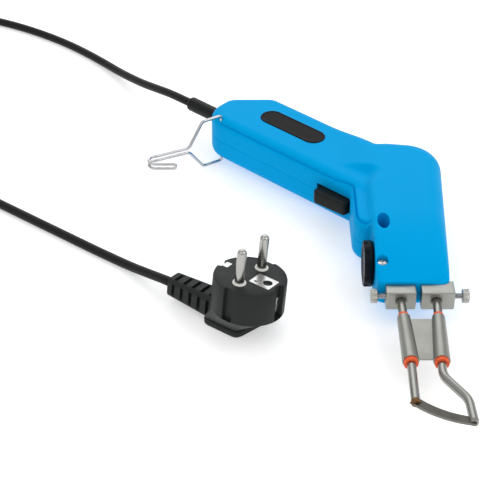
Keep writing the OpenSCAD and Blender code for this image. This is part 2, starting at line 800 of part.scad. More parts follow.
module secondary_strap() {
    high = ring_z + strap_t;
    color([0.8, 0.5, 0.3]) lifted() {
        translate([0, ring_low + strap_w/2, 0]) difference() {
            limb_ring(ring_x + strap_t, high, ring_x, ring_z, strap_w);
            translate([-ring_split/2, -strap_w/2 - over, 0]) cube([ring_split, strap_w + 2*over, head_t]);
        }
        for (x = [-1, 1]) translate([x*(ring_x + strap_t - lead_w/2) - lead_w/2, riser_y, 0]) {
            translate([0, 0, ring_z]) cube([lead_w, ring_low - riser_y, strap_t]);
            translate([0, 0, -stem_t/2]) cube([lead_w, strap_t, high + stem_t/2]);
        }
    }
}

// Terminals

module terminal_carrier() {
    color([0.45, 0.3, 0.2]) lifted() difference() {
        translate([carrier_x - carrier_w/2, block_top, -carrier_t/2]) cube([carrier_w, carrier_l, carrier_t]);
        for (x = [-1, 1]) translate([x*terminal_x - stem_w/2, block_top - over, -stem_t/2])
            cube([stem_w, carrier_l + 2*over, stem_t]);
    }
}

module terminal_block(side) {
    color([0.69, 0.69, 0.68]) lifted() difference() {
        union() {
            translate([side*terminal_x - block_w/2, block_low, -block_t/2])
                cube([block_w + block_extra(side), block_l, block_t]);
            translate([side*terminal_x - stem_w/2, block_top, -stem_t/2]) cube([stem_w, riser_y - block_top, stem_t]);
        }
        translate([side*terminal_x, block_low - over, 0]) rotate([-90, 0, 0]) cylinder(r = leg_r + fit, h = leg_in + 2*over);
        translate([side*terminal_x, stud_y, 0]) rotate([0, side*90, 0]) cylinder(r = stud_r + fit, h = block_w);
    }
}

module terminal_block_left() { terminal_block(-1); }

module terminal_block_right() { terminal_block(1); }

module clamp_stud(side) {
    color("silver") lifted() translate([side*stud_tip, stud_y, 0]) rotate([0, side*90, 0])
        cylinder(r = stud_r, h = knob_x + block_extra(side) + knob_t/2 - stud_tip);
}

module clamp_stud_left() { clamp_stud(-1); }

module clamp_stud_right() { clamp_stud(1); }

module clamp_knob(side) {
    color([0.75, 0.75, 0.74]) lifted() translate([side*(knob_x + block_extra(side)), stud_y, 0]) rotate([0, side*90, 0]) difference() {
        cylinder(r = knob_r, h = knob_t);
        translate([0, 0, -over]) cylinder(r = stud_r + fit, h = knob_t/2 + over + fit);
        for (k = [0:knurls - 1]) rotate([0, 0, 360*k/knurls]) translate([knob_r, 0, -over])
            cylinder(r = knurl_r, h = knob_t + 2*over);
    }
}

module clamp_knob_left() { clamp_knob(-1); }

module clamp_knob_right() { clamp_knob(1); }

// Blade with its legs

// Bowed strip between the feet of the legs, and past them
module blade_plate(t) {
    from = left_leg[3] + [0, foot_in];
    to = right_leg[4] + [0, foot_in];
    chord = norm(to - from) + 2*leg_r;
    turn = atan2(to.y - from.y, to.x - from.x);
    r = (chord*chord/4 + blade_bow*blade_bow)/(2*blade_bow);
    half = asin(chord/2/r);
    steps = 12;
    arc = function (radius, sign) [for (k = [0:steps])
        let (a = sign*half*(2*k/steps - 1)) [radius*sin(a), r - blade_bow - radius*cos(a)]];
    translate((from + to)/2) rotate([0, 0, turn]) linear_extrude(t, center = true)
        polygon(concat(arc(r + blade_w/2, 1), arc(r - blade_w/2, -1)));
}

module blade_leg(points) {
    color([0.72, 0.72, 0.7]) lifted() difference() {
        bent_rod(flat(points), leg_r);
        blade_plate(blade_t);
    }
}

module blade_leg_left() { blade_leg(left_leg); }

module blade_leg_right() { blade_leg(right_leg); }

// Point on the sleeved stretch of a leg, at a distance below the nose
function sleeve_point(leg, drop) =
    let (p = leg[1], q = leg[2], share = (-nose_y - drop - p.y)/(q.y - p.y)) p + share*(q - p);
function sleeve_ends(leg, inset) =
    flat([sleeve_point(leg, sleeve_drop + inset), sleeve_point(leg, sleeve_drop + sleeve_l - inset)]);

module sleeve_rod(leg, r, inset) {
    ends = sleeve_ends(leg, inset);
    rod(ends[0], ends[1], r);
}

module insulating_sleeves() {
    color([0.94, 0.37, 0.2]) lifted() for (leg = [left_leg, right_leg]) difference() {
        sleeve_rod(leg, leg_r + sleeve_wall, 0);
        sleeve_rod(leg, leg_r + fit, -over);
    }
}

module leg_link() {
    left = sleeve_ends(left_leg, link_inset + web_inset);
    right = sleeve_ends(right_leg, link_inset + web_inset);
    color([0.61, 0.615, 0.59]) lifted() difference() {
        union() {
            for (leg = [left_leg, right_leg]) sleeve_rod(leg, leg_r + sleeve_wall + link_wall, link_inset);
            linear_extrude(link_t, center = true)
                polygon([for (p = [left[0], left[1], right[1], right[0]]) [p.x, p.y]]);
        }
        for (leg = [left_leg, right_leg]) sleeve_rod(leg, leg_r + sleeve_wall + fit, -over);
    }
}

module blade() { color([0.37, 0.37, 0.33]) lifted() blade_plate(blade_t); }

// Hook of doubled wire, in the plan's own directions from its pivot

module hook_wire() {
    corners = [for (s = hook_shares) hook_reach*[s[0], s[1]]];
    knee = corners[0];
    neck = corners[1];
    heel = corners[2];
    tip = [heel.x + tip_share*hook_reach, heel.y - 2*hook_bend_r];
    bent_rod([[0, 0, hook_in], [0, 0, hook_out], [knee.x, knee.y, hook_out], [neck.x, neck.y, shank_half],
        [heel.x, heel.y, shank_half]], wire_r);
    translate([heel.x, heel.y - hook_bend_r, shank_half]) rotate([0, 0, 90])
        rotate_extrude(angle = 180) translate([hook_bend_r, 0]) circle(r = wire_r);
    bent_rod([[heel.x, heel.y - 2*hook_bend_r, shank_half], [tip.x, tip.y, shank_half], [tip.x, tip.y, 0]], wire_r);
    translate([heel.x, heel.y, shank_half]) sphere(r = wire_r*knuckle_share);
}

module hanging_hook() {
    place = from_handle(hook_pivot);
    color([0.8, 0.8, 0.82]) lifted() translate([place.x, place.y, 0]) {
        hook_wire();
        mirror([0, 0, 1]) hook_wire();
    }
}

// Cord entry

module cord_boot() {
    color([0.13, 0.13, 0.135]) lifted() in_handle() translate([-handle_len, boot_n, 0]) rotate([0, -90, 0]) difference() {
        union() {
            translate([0, 0, -flange_in - flange_t]) cylinder(r = flange_r, h = flange_t);
            translate([0, 0, -flange_in]) cylinder(r = boot_r, h = flange_in + boot_l - boot_taper_l);
            translate([0, 0, boot_l - boot_taper_l])
                cylinder(r1 = boot_r, r2 = boot_r*boot_taper_share, h = boot_taper_l);
        }
        translate([0, 0, -flange_in - flange_t - over])
            cylinder(r = cord_r + fit, h = flange_in + flange_t + boot_l + 2*over);
    }
}

module cord_entry() {
    color([0.15, 0.15, 0.155]) lifted() in_handle() translate([boot_end, boot_n, 0]) rotate([0, 90, 0])
        cylinder(r = cord_r, h = entry_end - boot_end);
}

module cord_clamp() {
    color([0.25, 0.25, 0.27]) lifted() in_handle() difference() {
        translate([clamp_x - clamp_l/2, boot_n - clamp_w/2, gap]) cube([clamp_l, clamp_w, clamp_t]);
        translate([clamp_x - clamp_l, boot_n, 0]) rotate([0, 90, 0]) cylinder(r = cord_r + fit, h = 2*clamp_l);
        for (s = [-1, 1]) translate([clamp_x, boot_n + s*clamp_screw_n, 0])
            cylinder(r = clamp_screw_r + fit, h = clamp_t + over);
    }
}

module cord_clamp_screws() {
    color("silver") lifted() in_handle() for (s = [-1, 1]) translate([clamp_x, boot_n + s*clamp_screw_n, gap + clamp_t]) {
        cylinder(r = clamp_head_r, h = clamp_head_t);
        translate([0, 0, -gap - clamp_t - clamp_screw_in])
            cylinder(r = clamp_screw_r, h = gap + clamp_t + clamp_screw_in);
    }
}

// Leads, from the cord's inner end and the switch
entry_place = from_handle([entry_end, boot_n]);
switch_mid = switch_low + switch_h/2;
switch_rear = from_handle([switch_x - switch_l/2, switch_mid]);
switch_front = from_handle([switch_x + switch_l/2, switch_mid]);
lead_offset = cord_r - lead_r - gap;
core_top = core_y + core_l/2;
lead_start = [entry_place.x, entry_place.y, lead_offset];
live_end = [switch_rear.x, switch_rear.y, lead_offset];
// Heights of the leads: under the handle's wall, on the winding, and on the core
handle_lead_z = half_handle - wall - 2*lead_r;
winding_lead_z = ring_z + lead_r;
core_lead_z = core_t/2 + lead_r + gap;
channel_x = -(ring_x + strap_t + core_w/2 - rib_t)/2;
function beside_switch(t) =
    let (p = from_handle([
        entry_end + t[0]*(switch_x - entry_end),
        boot_n + t[1]*(switch_low + switch_h + 2*lead_r + gap - boot_n)]))
    [p.x, p.y, t[2]*handle_lead_z];

module lead(route) { lifted() tube(route, lead_r, cord_sides, [0, 0, 1]); }

module live_lead() {
    color([0.45, 0.26, 0.14]) lead(concat(
        [lead_start], [for (t = live_shares) lead_start + t*(live_end - lead_start)], [live_end]));
}

module neutral_lead() {
    color([0.1, 0.35, 0.7]) lead(concat(
        [[entry_place.x, entry_place.y, -lead_offset]],
        [for (t = neutral_shares) beside_switch(t)],
        [for (t = over_core_shares) [t[0]*limb_w, core_top + t[1]*yoke_w, t[2]*winding_lead_z]]));
}

module switched_lead() {
    start = [switch_front.x, switch_front.y, 0];
    out = from_handle([switch_x + switch_l/2 + 3*lead_r, switch_mid]);
    end = [-head_front + wall + gap + regulator_l, -dial_y + regulator_r/2, regulator_r/2 + lead_r];
    color([0.45, 0.26, 0.14]) lead(concat(
        [start, [out.x, out.y, lead_r]],
        [[(out.x + channel_x)/2, out.y, core_lead_z*lead_rise_share]],
        [for (t = down_core_shares) [channel_x, core_top - t*core_l, core_lead_z]],
        [for (t = below_core_shares) [-core_w/2 + t[0]*riser_drop, core_low + t[1]*riser_drop, t[2]*core_lead_z]],
        [end + [2*lead_r, 0, 0], end]));
}

// Cord and coil

module mains_cord() { color([0.15, 0.15, 0.155]) tube(cord_route, cord_r, cord_sides, [0, 0, 1]); }

module cord_coil() { color([0.15, 0.15, 0.155]) tube(coil_route, cord_r, coil_sides, [0, 0, 1]); }

module cord_tail() { color([0.15, 0.15, 0.155]) tube(tail_route, cord_r, cord_sides, [0, 0, 1]); }

// Plug

// The plug stands on a flat base, and the rest of it leans over about the cord
module at_foot() { translate([plug_place.x, plug_place.y, 0]) rotate([0, 0, plug_turn]) children(); }

module at_plug() { at_foot() rotate([plug_tilt, 0, 0]) children(); }

module relief_profile() {
    step = relief_l/(2*relief_ribs + 1);
    edge = function (k) relief_r + (relief_tip_r - relief_r)*k/(2*relief_ribs + 1);
    polygon(concat(
        [[0, 0]],
        [for (k = [0:2*relief_ribs]) let (r = edge(k) - (k%2)*relief_groove) each [[r, k*step], [r, (k + 1)*step]]],
        [[0, relief_l]]));
}

module plug_body() {
    color([0.19, 0.2, 0.2]) difference() {
        union() {
            hull() {
                at_foot() for (x = [-1, 1], y = [-1, 1])
                    translate([base_x + x*(base_l/2 - base_r) - (x + y < 0 ? base_slant : 0),
                        base_y + y*(base_w/2 - base_r), 0])
                        cylinder(r = base_r, h = base_t, $fn = 24);
                at_plug() translate([0, 0, face_z - face_t + face_step]) cylinder(r = face_r - 3*face_step, h = face_step);
            }
            at_plug() translate([0, 0, face_z - face_t]) cylinder(r = face_r, h = face_t);
            at_plug() translate([base_x + base_l/2 - relief_in, 0, relief_z]) rotate([0, 90, 0])
                rotate_extrude() relief_profile();
        }
        at_plug() {
            for (y = [-1, 1]) translate([0, y*pin_pitch/2, face_z - pin_in])
                cylinder(r = pin_neck_r + fit, h = pin_in + over);
            for (x = [-1, 1]) translate([x*face_r - notch_in, -notch_w/2, face_z - face_t + 3*face_step])
                cube([2*notch_in, notch_w, face_t]);
            for (y = [-1, 1]) translate([-guide_w/2, y*face_r - guide_in, face_z - face_t + 3*face_step])
                cube([guide_w, 2*guide_in, face_t]);
            translate([contact_x - contact_w/2, -contact_l/2, face_z - contact_t])
                cube([contact_w, contact_l, contact_t + over]);
        }
    }
}

module plug_pins() {
    color("gainsboro") at_plug() for (y = [-1, 1]) translate([0, y*pin_pitch/2, face_z - pin_in]) {
        cylinder(r = pin_neck_r, h = pin_in + collar_t);
        translate([0, 0, pin_in + collar_t]) cylinder(r = pin_r, h = pin_l - collar_t - pin_tip);
        translate([0, 0, pin_in + pin_l - pin_tip]) cylinder(r1 = pin_r, r2 = pin_r*pin_tip_share, h = pin_tip);
    }
}

module pin_collars() {
    color("white") at_plug() for (y = [-1, 1]) translate([0, y*pin_pitch/2, face_z]) difference() {
        cylinder(r = collar_r, h = collar_t);
        translate([0, 0, -over]) cylinder(r = pin_neck_r + fit, h = collar_t + 2*over);
    }
}

module earth_clips() {
    color("silver") at_plug() for (x = [-1, 1])
        translate([x*(face_r - notch_in + clip_t/2) - clip_t/2, -clip_w/2, face_z - clip_l + notch_in])
            cube([clip_t, clip_w, clip_l - notch_in - (x < 0 ? far_clip_drop : 0)]);
}

module earth_contact() {
    color("silver") at_plug() difference() {
        translate([contact_x - contact_w/2, -contact_l/2, face_z - contact_t]) cube([contact_w, contact_l, contact_t]);
        translate([contact_hole_x, 0, face_z - contact_t - over]) cylinder(r = pin_r, h = contact_t + 2*over);
    }
}

near_shell();
far_shell();
nameplate();
housing_screws();
trigger();
trigger_pin();
trigger_spring();
switch_body();
switch_plunger();
heat_dial();
regulator_body();
regulator_shaft();
transformer_core();
coil_former();
primary_winding();
secondary_strap();
terminal_carrier();
terminal_block_left();
terminal_block_right();
clamp_stud_left();
clamp_stud_right();
clamp_knob_left();
clamp_knob_right();
blade_leg_left();
blade_leg_right();
insulating_sleeves();
leg_link();
blade();
hanging_hook();
cord_boot();
cord_entry();
cord_clamp();
cord_clamp_screws();
live_lead();
neutral_lead();
switched_lead();
mains_cord();
cord_coil();
cord_tail();
plug_body();
plug_pins();
pin_collars();
earth_clips();
earth_contact();
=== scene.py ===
"""Dressed model of an electric hot knife that lies on a pale table with its cord and plug.

Lengths are in millimetres until a mesh is made, which turns them into metres. Heights of the tool's own
sections are measured from the joint between the two housing halves, which lies half the head's thickness
up, and its pieces are lifted by that much.
"""

import json
import logging
import math
from collections.abc import Callable, Sequence
from dataclasses import dataclass, field
from enum import Enum
from typing import Any, Optional, Union

import bmesh
import bpy
import numpy as np
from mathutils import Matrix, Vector
from mathutils.geometry import delaunay_2d_cdt

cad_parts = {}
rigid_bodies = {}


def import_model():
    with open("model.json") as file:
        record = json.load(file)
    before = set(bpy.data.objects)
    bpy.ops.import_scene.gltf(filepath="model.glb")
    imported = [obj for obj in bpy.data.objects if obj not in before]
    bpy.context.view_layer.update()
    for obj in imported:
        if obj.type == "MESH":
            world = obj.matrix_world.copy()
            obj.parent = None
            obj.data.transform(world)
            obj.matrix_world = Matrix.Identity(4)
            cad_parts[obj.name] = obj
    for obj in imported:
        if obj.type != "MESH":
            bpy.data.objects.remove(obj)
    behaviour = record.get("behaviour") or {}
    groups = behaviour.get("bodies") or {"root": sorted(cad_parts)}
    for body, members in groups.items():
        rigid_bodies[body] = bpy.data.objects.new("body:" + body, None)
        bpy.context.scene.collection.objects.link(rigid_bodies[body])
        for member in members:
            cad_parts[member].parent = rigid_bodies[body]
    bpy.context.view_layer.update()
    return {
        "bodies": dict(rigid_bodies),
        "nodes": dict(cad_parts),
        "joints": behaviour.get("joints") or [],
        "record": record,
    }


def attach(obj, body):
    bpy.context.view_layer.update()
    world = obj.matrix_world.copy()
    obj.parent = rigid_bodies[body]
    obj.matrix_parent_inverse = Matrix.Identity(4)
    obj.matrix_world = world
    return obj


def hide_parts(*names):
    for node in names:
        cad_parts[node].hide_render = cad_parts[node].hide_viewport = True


LOG = logging.getLogger("hot_knife")
MM = 0.001
JOINT_Z = 18.0
TILT = math.radians(42)
BEND_Y = 23.0
TAIL = (-131.0, -2.0)
HOOK_PIVOT = (-118.0, -18.05)
MERGE_DISTANCE = 0.000002
SLIVER_DISTANCE = 0.000001
OUTLINE_STEP = 0.8
Array = np.ndarray
Line = tuple[tuple[float, ...], ...]
Number = Union[float, "Sock"]


class Named(Enum):
    """A choice whose name is part of the names of pieces and nodes."""

    @property
    def word(self) -> str:
        """The name in small letters."""
        return self.name.lower()


class Side(Named):
    """The two housing halves, by the direction they face."""

    NEAR = 1
    FAR = -1


class Hand(Named):
    """The two sides of the blade line."""

    LEFT = -1
    RIGHT = 1


# Arrays and surfaces


@dataclass
class Surface:
    """Points in millimetres with four-sided and three-sided faces that index them."""

    points: Array
    quads: Array = field(default_factory=lambda: np.zeros((0, 4), int))
    tris: Array = field(default_factory=lambda: np.zeros((0, 3), int))

    def __add__(self, other: "Surface") -> "Surface":
        """Both surfaces in one.

        Args:
            other: the surface that is added.

        Returns:
            The joined surface.
        """
        n = len(self.points)
        return Surface(
            np.vstack([self.points, other.points]),
            np.vstack([self.quads, other.quads + n]),
            np.vstack([self.tris, other.tris + n]),
        )

    def moved(self, origin: Sequence[float], axes: Optional[Array] = None) -> "Surface":
        """Turns the surface onto new axes and then moves it.

        Args:
            origin: where the surface's zero goes.
            axes: rows that are the directions of the surface's own X, Y and Z.

        Returns:
            The placed surface.
        """
        turned = self.points if axes is None else self.points @ np.asarray(axes, float)
        return Surface(turned + np.asarray(origin, float), self.quads, self.tris)

    def lifted(self) -> "Surface":
        """The surface with its heights over the joint turned into heights over the table."""
        return self.moved((0, 0, JOINT_Z))

    def scaled(self, *shares: float) -> "Surface":
        """The surface with its X, Y and Z multiplied by one share each."""
        return Surface(self.points * shares, self.quads, self.tris)


def unit(v: Array) -> Array:
    """Vectors brought to length one along their last axis."""
    v = np.asarray(v, float)
    return v / np.linalg.norm(v, axis=-1, keepdims=True)


def axes_along(direction: Sequence[float]) -> Array:
    """Rows of a right-handed frame whose Z is a direction.

    Args:
        direction: where the frame's Z points.

    Returns:
        The frame's X, Y and Z as rows.
    """
    z = unit(np.array(direction, float))
    helper = np.array([0.0, 0.0, 1.0]) if abs(z[2]) < 0.9 else np.array([1.0, 0.0, 0.0])
    x = unit(np.cross(helper, z))
    return np.array([x, np.cross(z, x), z])


def grid(rows: Array, wrap: bool = True, capped: bool = True) -> Surface:
    """Faces over a grid of points, with a fan over the first and the last row.

    Args:
        rows: points as an array of rows, columns and three numbers.
        wrap: whether the last column joins the first.
        capped: whether the first and the last row are closed, each by a fan to its middle.

    Returns:
        The surface.
    """
    r, c = rows.shape[:2]
    index = np.arange(r * c).reshape(r, c)
    nxt = np.roll(index, -1, axis=1)
    left, right = (index, nxt) if wrap else (index[:, :-1], nxt[:, :-1])
    quads = np.stack([left[:-1], right[:-1], right[1:], left[1:]], axis=-1).reshape(-1, 4)
    points = [rows.reshape(-1, 3)]
    tris = [np.zeros((0, 3), int)]
    for row in (0, r - 1) if capped else ():
        hub = sum(len(p) for p in points)
        points.append(rows[row].mean(axis=0)[None])
        fan = np.stack([left[row], right[row], np.full(len(left[row]), hub)], axis=-1)
        tris.append(fan if row else fan[:, ::-1])
    return Surface(np.vstack(points), quads, np.vstack(tris))


def lathe(
    profile: Sequence[Sequence[float]],
    sides: int,
    ripple: Optional[Callable[[Array, Array], Array]] = None,
    closed: bool = False,
) -> Surface:
    """A profile of radius and height turned round Z.

    Args:
        profile: points of radius and height, from the bottom up.
        sides: columns of the turned surface.
        ripple: share of the radius as a function of the angle and the row number.
        closed: whether the profile's last point joins its first, as for a ring.

    Returns:
        The turned surface, closed at both ends or into a ring.
    """
    p = np.array(list(profile) + ([profile[0]] if closed else []), float)
    angle = np.linspace(0, 2 * np.pi, sides, endpoint=False)
    share = np.ones((len(p), sides))
    if ripple is not None:
        share = ripple(angle[None, :], np.arange(len(p))[:, None]) * share
    radius = p[:, :1] * share
    height = np.repeat(p[:, 1:], sides, axis=1)
    rows = np.stack([radius * np.cos(angle), radius * np.sin(angle), height], axis=-1)
    return grid(rows, capped=not closed)


def sweep(path: Array, radius: Union[float, Array], sides: int, up: Sequence[float]) -> Surface:
    """A round tube along a path: at each point a ring square to the path's direction.

    Args:
        path: points of the middle line.
        radius: one radius or one per point.
        sides: corners of a ring.
        up: a direction that the path never follows.

    Returns:
        The closed tube.
    """
    along = unit(np.gradient(path, axis=0))
    across = unit(np.cross(np.array(up, float), along))
    top = np.cross(along, across)
    angle = np.linspace(0, 2 * np.pi, sides, endpoint=False)[:, None]
    ring = np.cos(angle) * top[:, None] + np.sin(angle) * across[:, None]
    return grid(path[:, None] + np.broadcast_to(radius, (len(path),))[:, None, None] * ring)


def spaced(path: Array, step: float) -> Array:
    """The same line with its points at equal steps of its length.

    Args:
        path: points of a line.
        step: distance between neighbours, about.

    Returns:
        The new points.
    """
    run = np.concatenate([[0], np.cumsum(np.linalg.norm(np.diff(path, axis=0), axis=1))])
    at = np.linspace(0, run[-1], max(2, int(round(run[-1] / step)) + 1))
    return np.stack([np.interp(at, run, path[:, k]) for k in range(path.shape[1])], axis=-1)


def smooth_path(points: Sequence[Sequence[float]], step: float) -> Array:
    """A smooth line through all points: cubic pieces whose slopes come from each point's neighbours.

    Args:
        points: points that the line passes.
        step: distance between the points of the result.

    Returns:
        The points of the line.
    """
    p = np.array(points, float)
    ext = np.vstack([2 * p[0] - p[1], p, 2 * p[-1] - p[-2]])
    fine_steps = 24
    t = np.linspace(0, 1, fine_steps, endpoint=False)[None, :, None]
    a, b, c, d = (ext[k : len(ext) - 3 + k, None] for k in range(4))
    square, cube = 2 * a - 5 * b + 4 * c - d, 3 * b - a - 3 * c + d
    cubic = 0.5 * (2 * b + (c - a) * t + square * t**2 + cube * t**3)
    return spaced(np.vstack([cubic.reshape(-1, p.shape[1]), p[-1:]]), step)


def rounded_path(points: Sequence[Sequence[float]], radius: float, step: float) -> Array:
    """Straight runs whose corners are rounded by a parabola that starts a radius before each corner.

    Args:
        points: ends and corners of the line.
        radius: run of each rounding, limited to half of the shorter side.
        step: distance between the points of the result.

    Returns:
        The points of the line.
    """
    p = np.array(points, float)
    t = np.linspace(0, 1, 9)[:, None]
    parts = [p[:1]]
    for before, corner, after in zip(p[:-2], p[1:-1], p[2:]):
        reach = min(radius, 0.49 * np.linalg.norm(corner - before), 0.49 * np.linalg.norm(after - corner))
        start = corner + reach * unit(before - corner)
        end = corner + reach * unit(after - corner)
        parts.append((1 - t) ** 2 * start + 2 * t * (1 - t) * corner + t**2 * end)
    parts.append(p[-1:])
    return spaced(np.vstack(parts), step)


def side_angles(corners: Array) -> Array:
    """Outward angle of the side from each corner circle to the next. A negative radius is a hollow corner.

    Args:
        corners: x, y and radius of each circle.

    Returns:
        One angle for each side.
    """
    nxt = np.roll(corners, -1, axis=0)
    x, y = (nxt[:, :2] - corners[:, :2]).T
    return np.arctan2(y, x) - np.arccos((corners[:, 2] - nxt[:, 2]) / np.hypot(x, y))


def outline(corners: Array, step: float) -> tuple[Array, Array]:
    """Points and outward directions round corner circles that are joined by their common tangents.

    Args:
        corners: x, y and radius of each circle, turning left. A hollow corner's radius is negative.
        step: greatest distance between neighbours.

    Returns:
        The points and their outward directions.
    """
    angles = side_angles(corners)
    finest_turn = 0.12
    arcs = []
    for k, (x, y, r) in enumerate(corners):
        turn = (angles[k] - angles[k - 1] + 3 * np.pi) % (2 * np.pi) - np.pi
        count = max(3, int(abs(r * turn) / step) + 1, int(abs(turn) / finest_turn))
        a = angles[k - 1] + turn * np.linspace(0, 1, count)
        n = np.stack([np.cos(a), np.sin(a)], axis=-1)
        arcs.append((np.array([x, y]) + r * n, n))
    points, outward = [], []
    for (arc, n), (following, m) in zip(arcs, arcs[1:] + arcs[:1]):
        gap = np.linalg.norm(following[0] - arc[-1])
        share = np.linspace(0, 1, max(2, int(gap / step) + 1), endpoint=False)[1:, None]
        points += [arc, (1 - share) * arc[-1] + share * following[0]]
        outward += [n, np.repeat(m[:1], len(share), axis=0)]
    return np.vstack(points), np.vstack(outward)


def terraces(corners: Sequence[Sequence[float]], inset: Array, height: Array) -> Surface:
    """A closed solid of rows that follow one outline.

    Args:
        corners: x, y and radius of the outline's corner circles.
        inset: each row's distance in from the outline.
        height: each row's height.

    Returns:
        The closed solid.
    """
    points, outward = outline(np.array(corners, float), OUTLINE_STEP)
    plan = points[None] - inset[:, None, None] * outward[None]
    z = np.broadcast_to(height[:, None, None], plan.shape[:2] + (1,))
    return grid(np.concatenate([plan, z], axis=-1))


def slab(corners: Sequence[Sequence[float]], low: float, high: float, edge: float) -> Surface:
    """A plate of one outline with rounded edges.

    Args:
        corners: x, y and radius of the outline's corner circles.
        low: height of the lower face.
        high: height of the upper face.
        edge: radius of the rounded edges.

    Returns:
        The closed plate.
    """
    a = np.linspace(0, np.pi / 2, 6)
    inset = edge * (1 - np.cos(a))
    rise = edge * (1 - np.sin(a))
    rows = np.concatenate([low + rise[::-1], high - rise])
    return terraces(corners, np.concatenate([inset[::-1], inset]), rows)


def box_corners(x0: float, x1: float, y0: float, y1: float, r: float) -> list[tuple[float, float, float]]:
    """Corner circles of an upright rectangle."""
    return [(x0 + r, y0 + r, r), (x1 - r, y0 + r, r), (x1 - r, y1 - r, r), (x0 + r, y1 - r, r)]


def from_handle(a: Any, n: Any) -> Array:
    """Plan place of points given along the handle, with the tail negative, and across it.

    Args:
        a: distances along the handle.
        n: distances across it.

    Returns:
        The plan points.
    """
    a, n = np.asarray(a, float), np.asarray(n, float)
    c, s = math.cos(TILT), math.sin(TILT)
    return np.stack([a * c + n * s, BEND_Y - a * s + n * c], axis=-1)


def to_handle(plan: Array) -> tuple[Array, Array]:
    """Distances along and across the handle of plan points.

    Args:
        plan: plan points.

    Returns:
        The distances along and across.
    """
    c, s = math.cos(TILT), math.sin(TILT)
    x, y = plan[..., 0], plan[..., 1] - BEND_Y
    return x * c - y * s, x * s + y * c


def smoothstep(value: Array, low: float, high: float) -> Array:
    """Nought below one value, one above another, and three squares less two cubes of the share between."""
    t = np.clip((value - low) / (high - low), 0, 1)
    return t * t * (3 - 2 * t)


def coordinates(mesh: bpy.types.Mesh) -> Array:
    """The points of a mesh in metres, one in each row.

    Args:
        mesh: the mesh.

    Returns:
        Its points.
    """
    co = np.empty(len(mesh.vertices) * 3)
    mesh.vertices.foreach_get("co", co)
    return co.reshape(-1, 3)


HANDLE_AXES = np.array(
    [[math.cos(TILT), -math.sin(TILT), 0], [math.sin(TILT), math.cos(TILT), 0], [0, 0, 1]]
)
TAILWARDS = (-math.cos(TILT), math.sin(TILT), 0.0)


# Shader expressions


def join(tree: bpy.types.NodeTree, slot: bpy.types.NodeSocket, value: Any) -> None:
    """Links a shader value to a socket, or sets the socket to a plain value.

    Args:
        tree: the material's node tree.
        slot: the socket.
        value: a shader value, number or colour.
    """
    if isinstance(value, Sock):
        tree.links.new(value.socket, slot)
    else:
        slot.default_value = value


@dataclass
class Sock:
    """A shader value: sums, products and powers of it add Math nodes to its tree."""

    tree: bpy.types.NodeTree
    socket: bpy.types.NodeSocket

    def _math(self, operation: str, first: Number, second: Number) -> "Sock":
        """One Math node on two values.

        Args:
            operation: the node's operation.
            first: its first value.
            second: its second value.

        Returns:
            The result.
        """
        node = self.tree.nodes.new("ShaderNodeMath")
        node.operation = operation
        for slot, value in zip(node.inputs, (first, second)):
            join(self.tree, slot, value)
        return Sock(self.tree, node.outputs[0])

    def __add__(self, other: Number) -> "Sock":
        """Sum."""
        return self._math("ADD", self, other)

    __radd__ = __add__

    def __sub__(self, other: Number) -> "Sock":
        """Difference."""
        return self._math("SUBTRACT", self, other)

    def __rsub__(self, other: Number) -> "Sock":
        """Difference from a number."""
        return self._math("SUBTRACT", other, self)

    def __mul__(self, other: Number) -> "Sock":
        """Product."""
        return self._math("MULTIPLY", self, other)

    __rmul__ = __mul__

    def __pow__(self, other: Number) -> "Sock":
        """Power."""
        return self._math("POWER", self, other)


class Recipe:
    """One material and the nodes that make it."""

    def __init__(self, name: str) -> None:
        """Starts a material with a principled shader and object coordinates.

        Args:
            name: the material's name.
        """
        self.material = bpy.data.materials.new(name)
        self.material.use_nodes = True
        self.tree = self.material.node_tree
        self.shader = next(n for n in self.tree.nodes if n.type == "BSDF_PRINCIPLED")
        self.place = self.node("ShaderNodeTexCoord", {}, {}, "Object")

    def node(
        self, kind: str, settings: dict[str, Any], inputs: dict[str, Any], output: Union[str, int] = 0
    ) -> Sock:
        """Adds a node.

        Args:
            kind: the node's type.
            settings: attributes that are set first. A "stops" entry fills a colour ramp.
            inputs: numbers, colours or shader values for its sockets.
            output: name or number of the socket that is returned.

        Returns:
            The chosen output.
        """
        node = self.tree.nodes.new(kind)
        for key, value in settings.items():
            if key == "stops":
                ramp = node.color_ramp.elements
                for k, (at, colour) in enumerate(value):
                    stop = ramp[k] if k < len(ramp) else ramp.new(at)
                    stop.position, stop.color = at, colour
            else:
                setattr(node, key, value)
        for key, value in inputs.items():
            join(self.tree, node.inputs[key], value)
        return Sock(self.tree, node.outputs[output])

    def noise(self, scale: float, detail: float = 3.0, vector: Optional[Sock] = None) -> Sock:
        """Cloudy noise from nought to one, at a scale in waves per metre."""
        inputs = {"Vector": vector or self.place, "Scale": scale, "Detail": detail}
        return self.node("ShaderNodeTexNoise", {}, inputs, "Fac")

    def stretched(self, scale: Sequence[float]) -> Sock:
        """Object coordinates scaled along each axis, for marks that run one way."""
        return self.node("ShaderNodeMapping", {}, {"Vector": self.place, "Scale": tuple(scale)})

    def mix(self, share: Sock, first: Sequence[float], second: Sequence[float]) -> Sock:
        """A colour between two, by a share."""
        settings = {"stops": [(0.0, (*first, 1.0)), (1.0, (*second, 1.0))]}
        return self.node("ShaderNodeValToRGB", settings, {"Fac": share})

    def feed(self, socket: str, value: Any) -> None:
        """Sets or links one of the shader's sockets."""
        join(self.tree, self.shader.inputs[socket], value)

    def bump(self, height: Sock, depth: float) -> None:
        """Raises the surface by a height value, times a depth in metres."""
        inputs = {"Height": height, "Strength": 1.0, "Distance": depth}
        self.feed("Normal", self.node("ShaderNodeBump", {}, inputs, "Normal"))


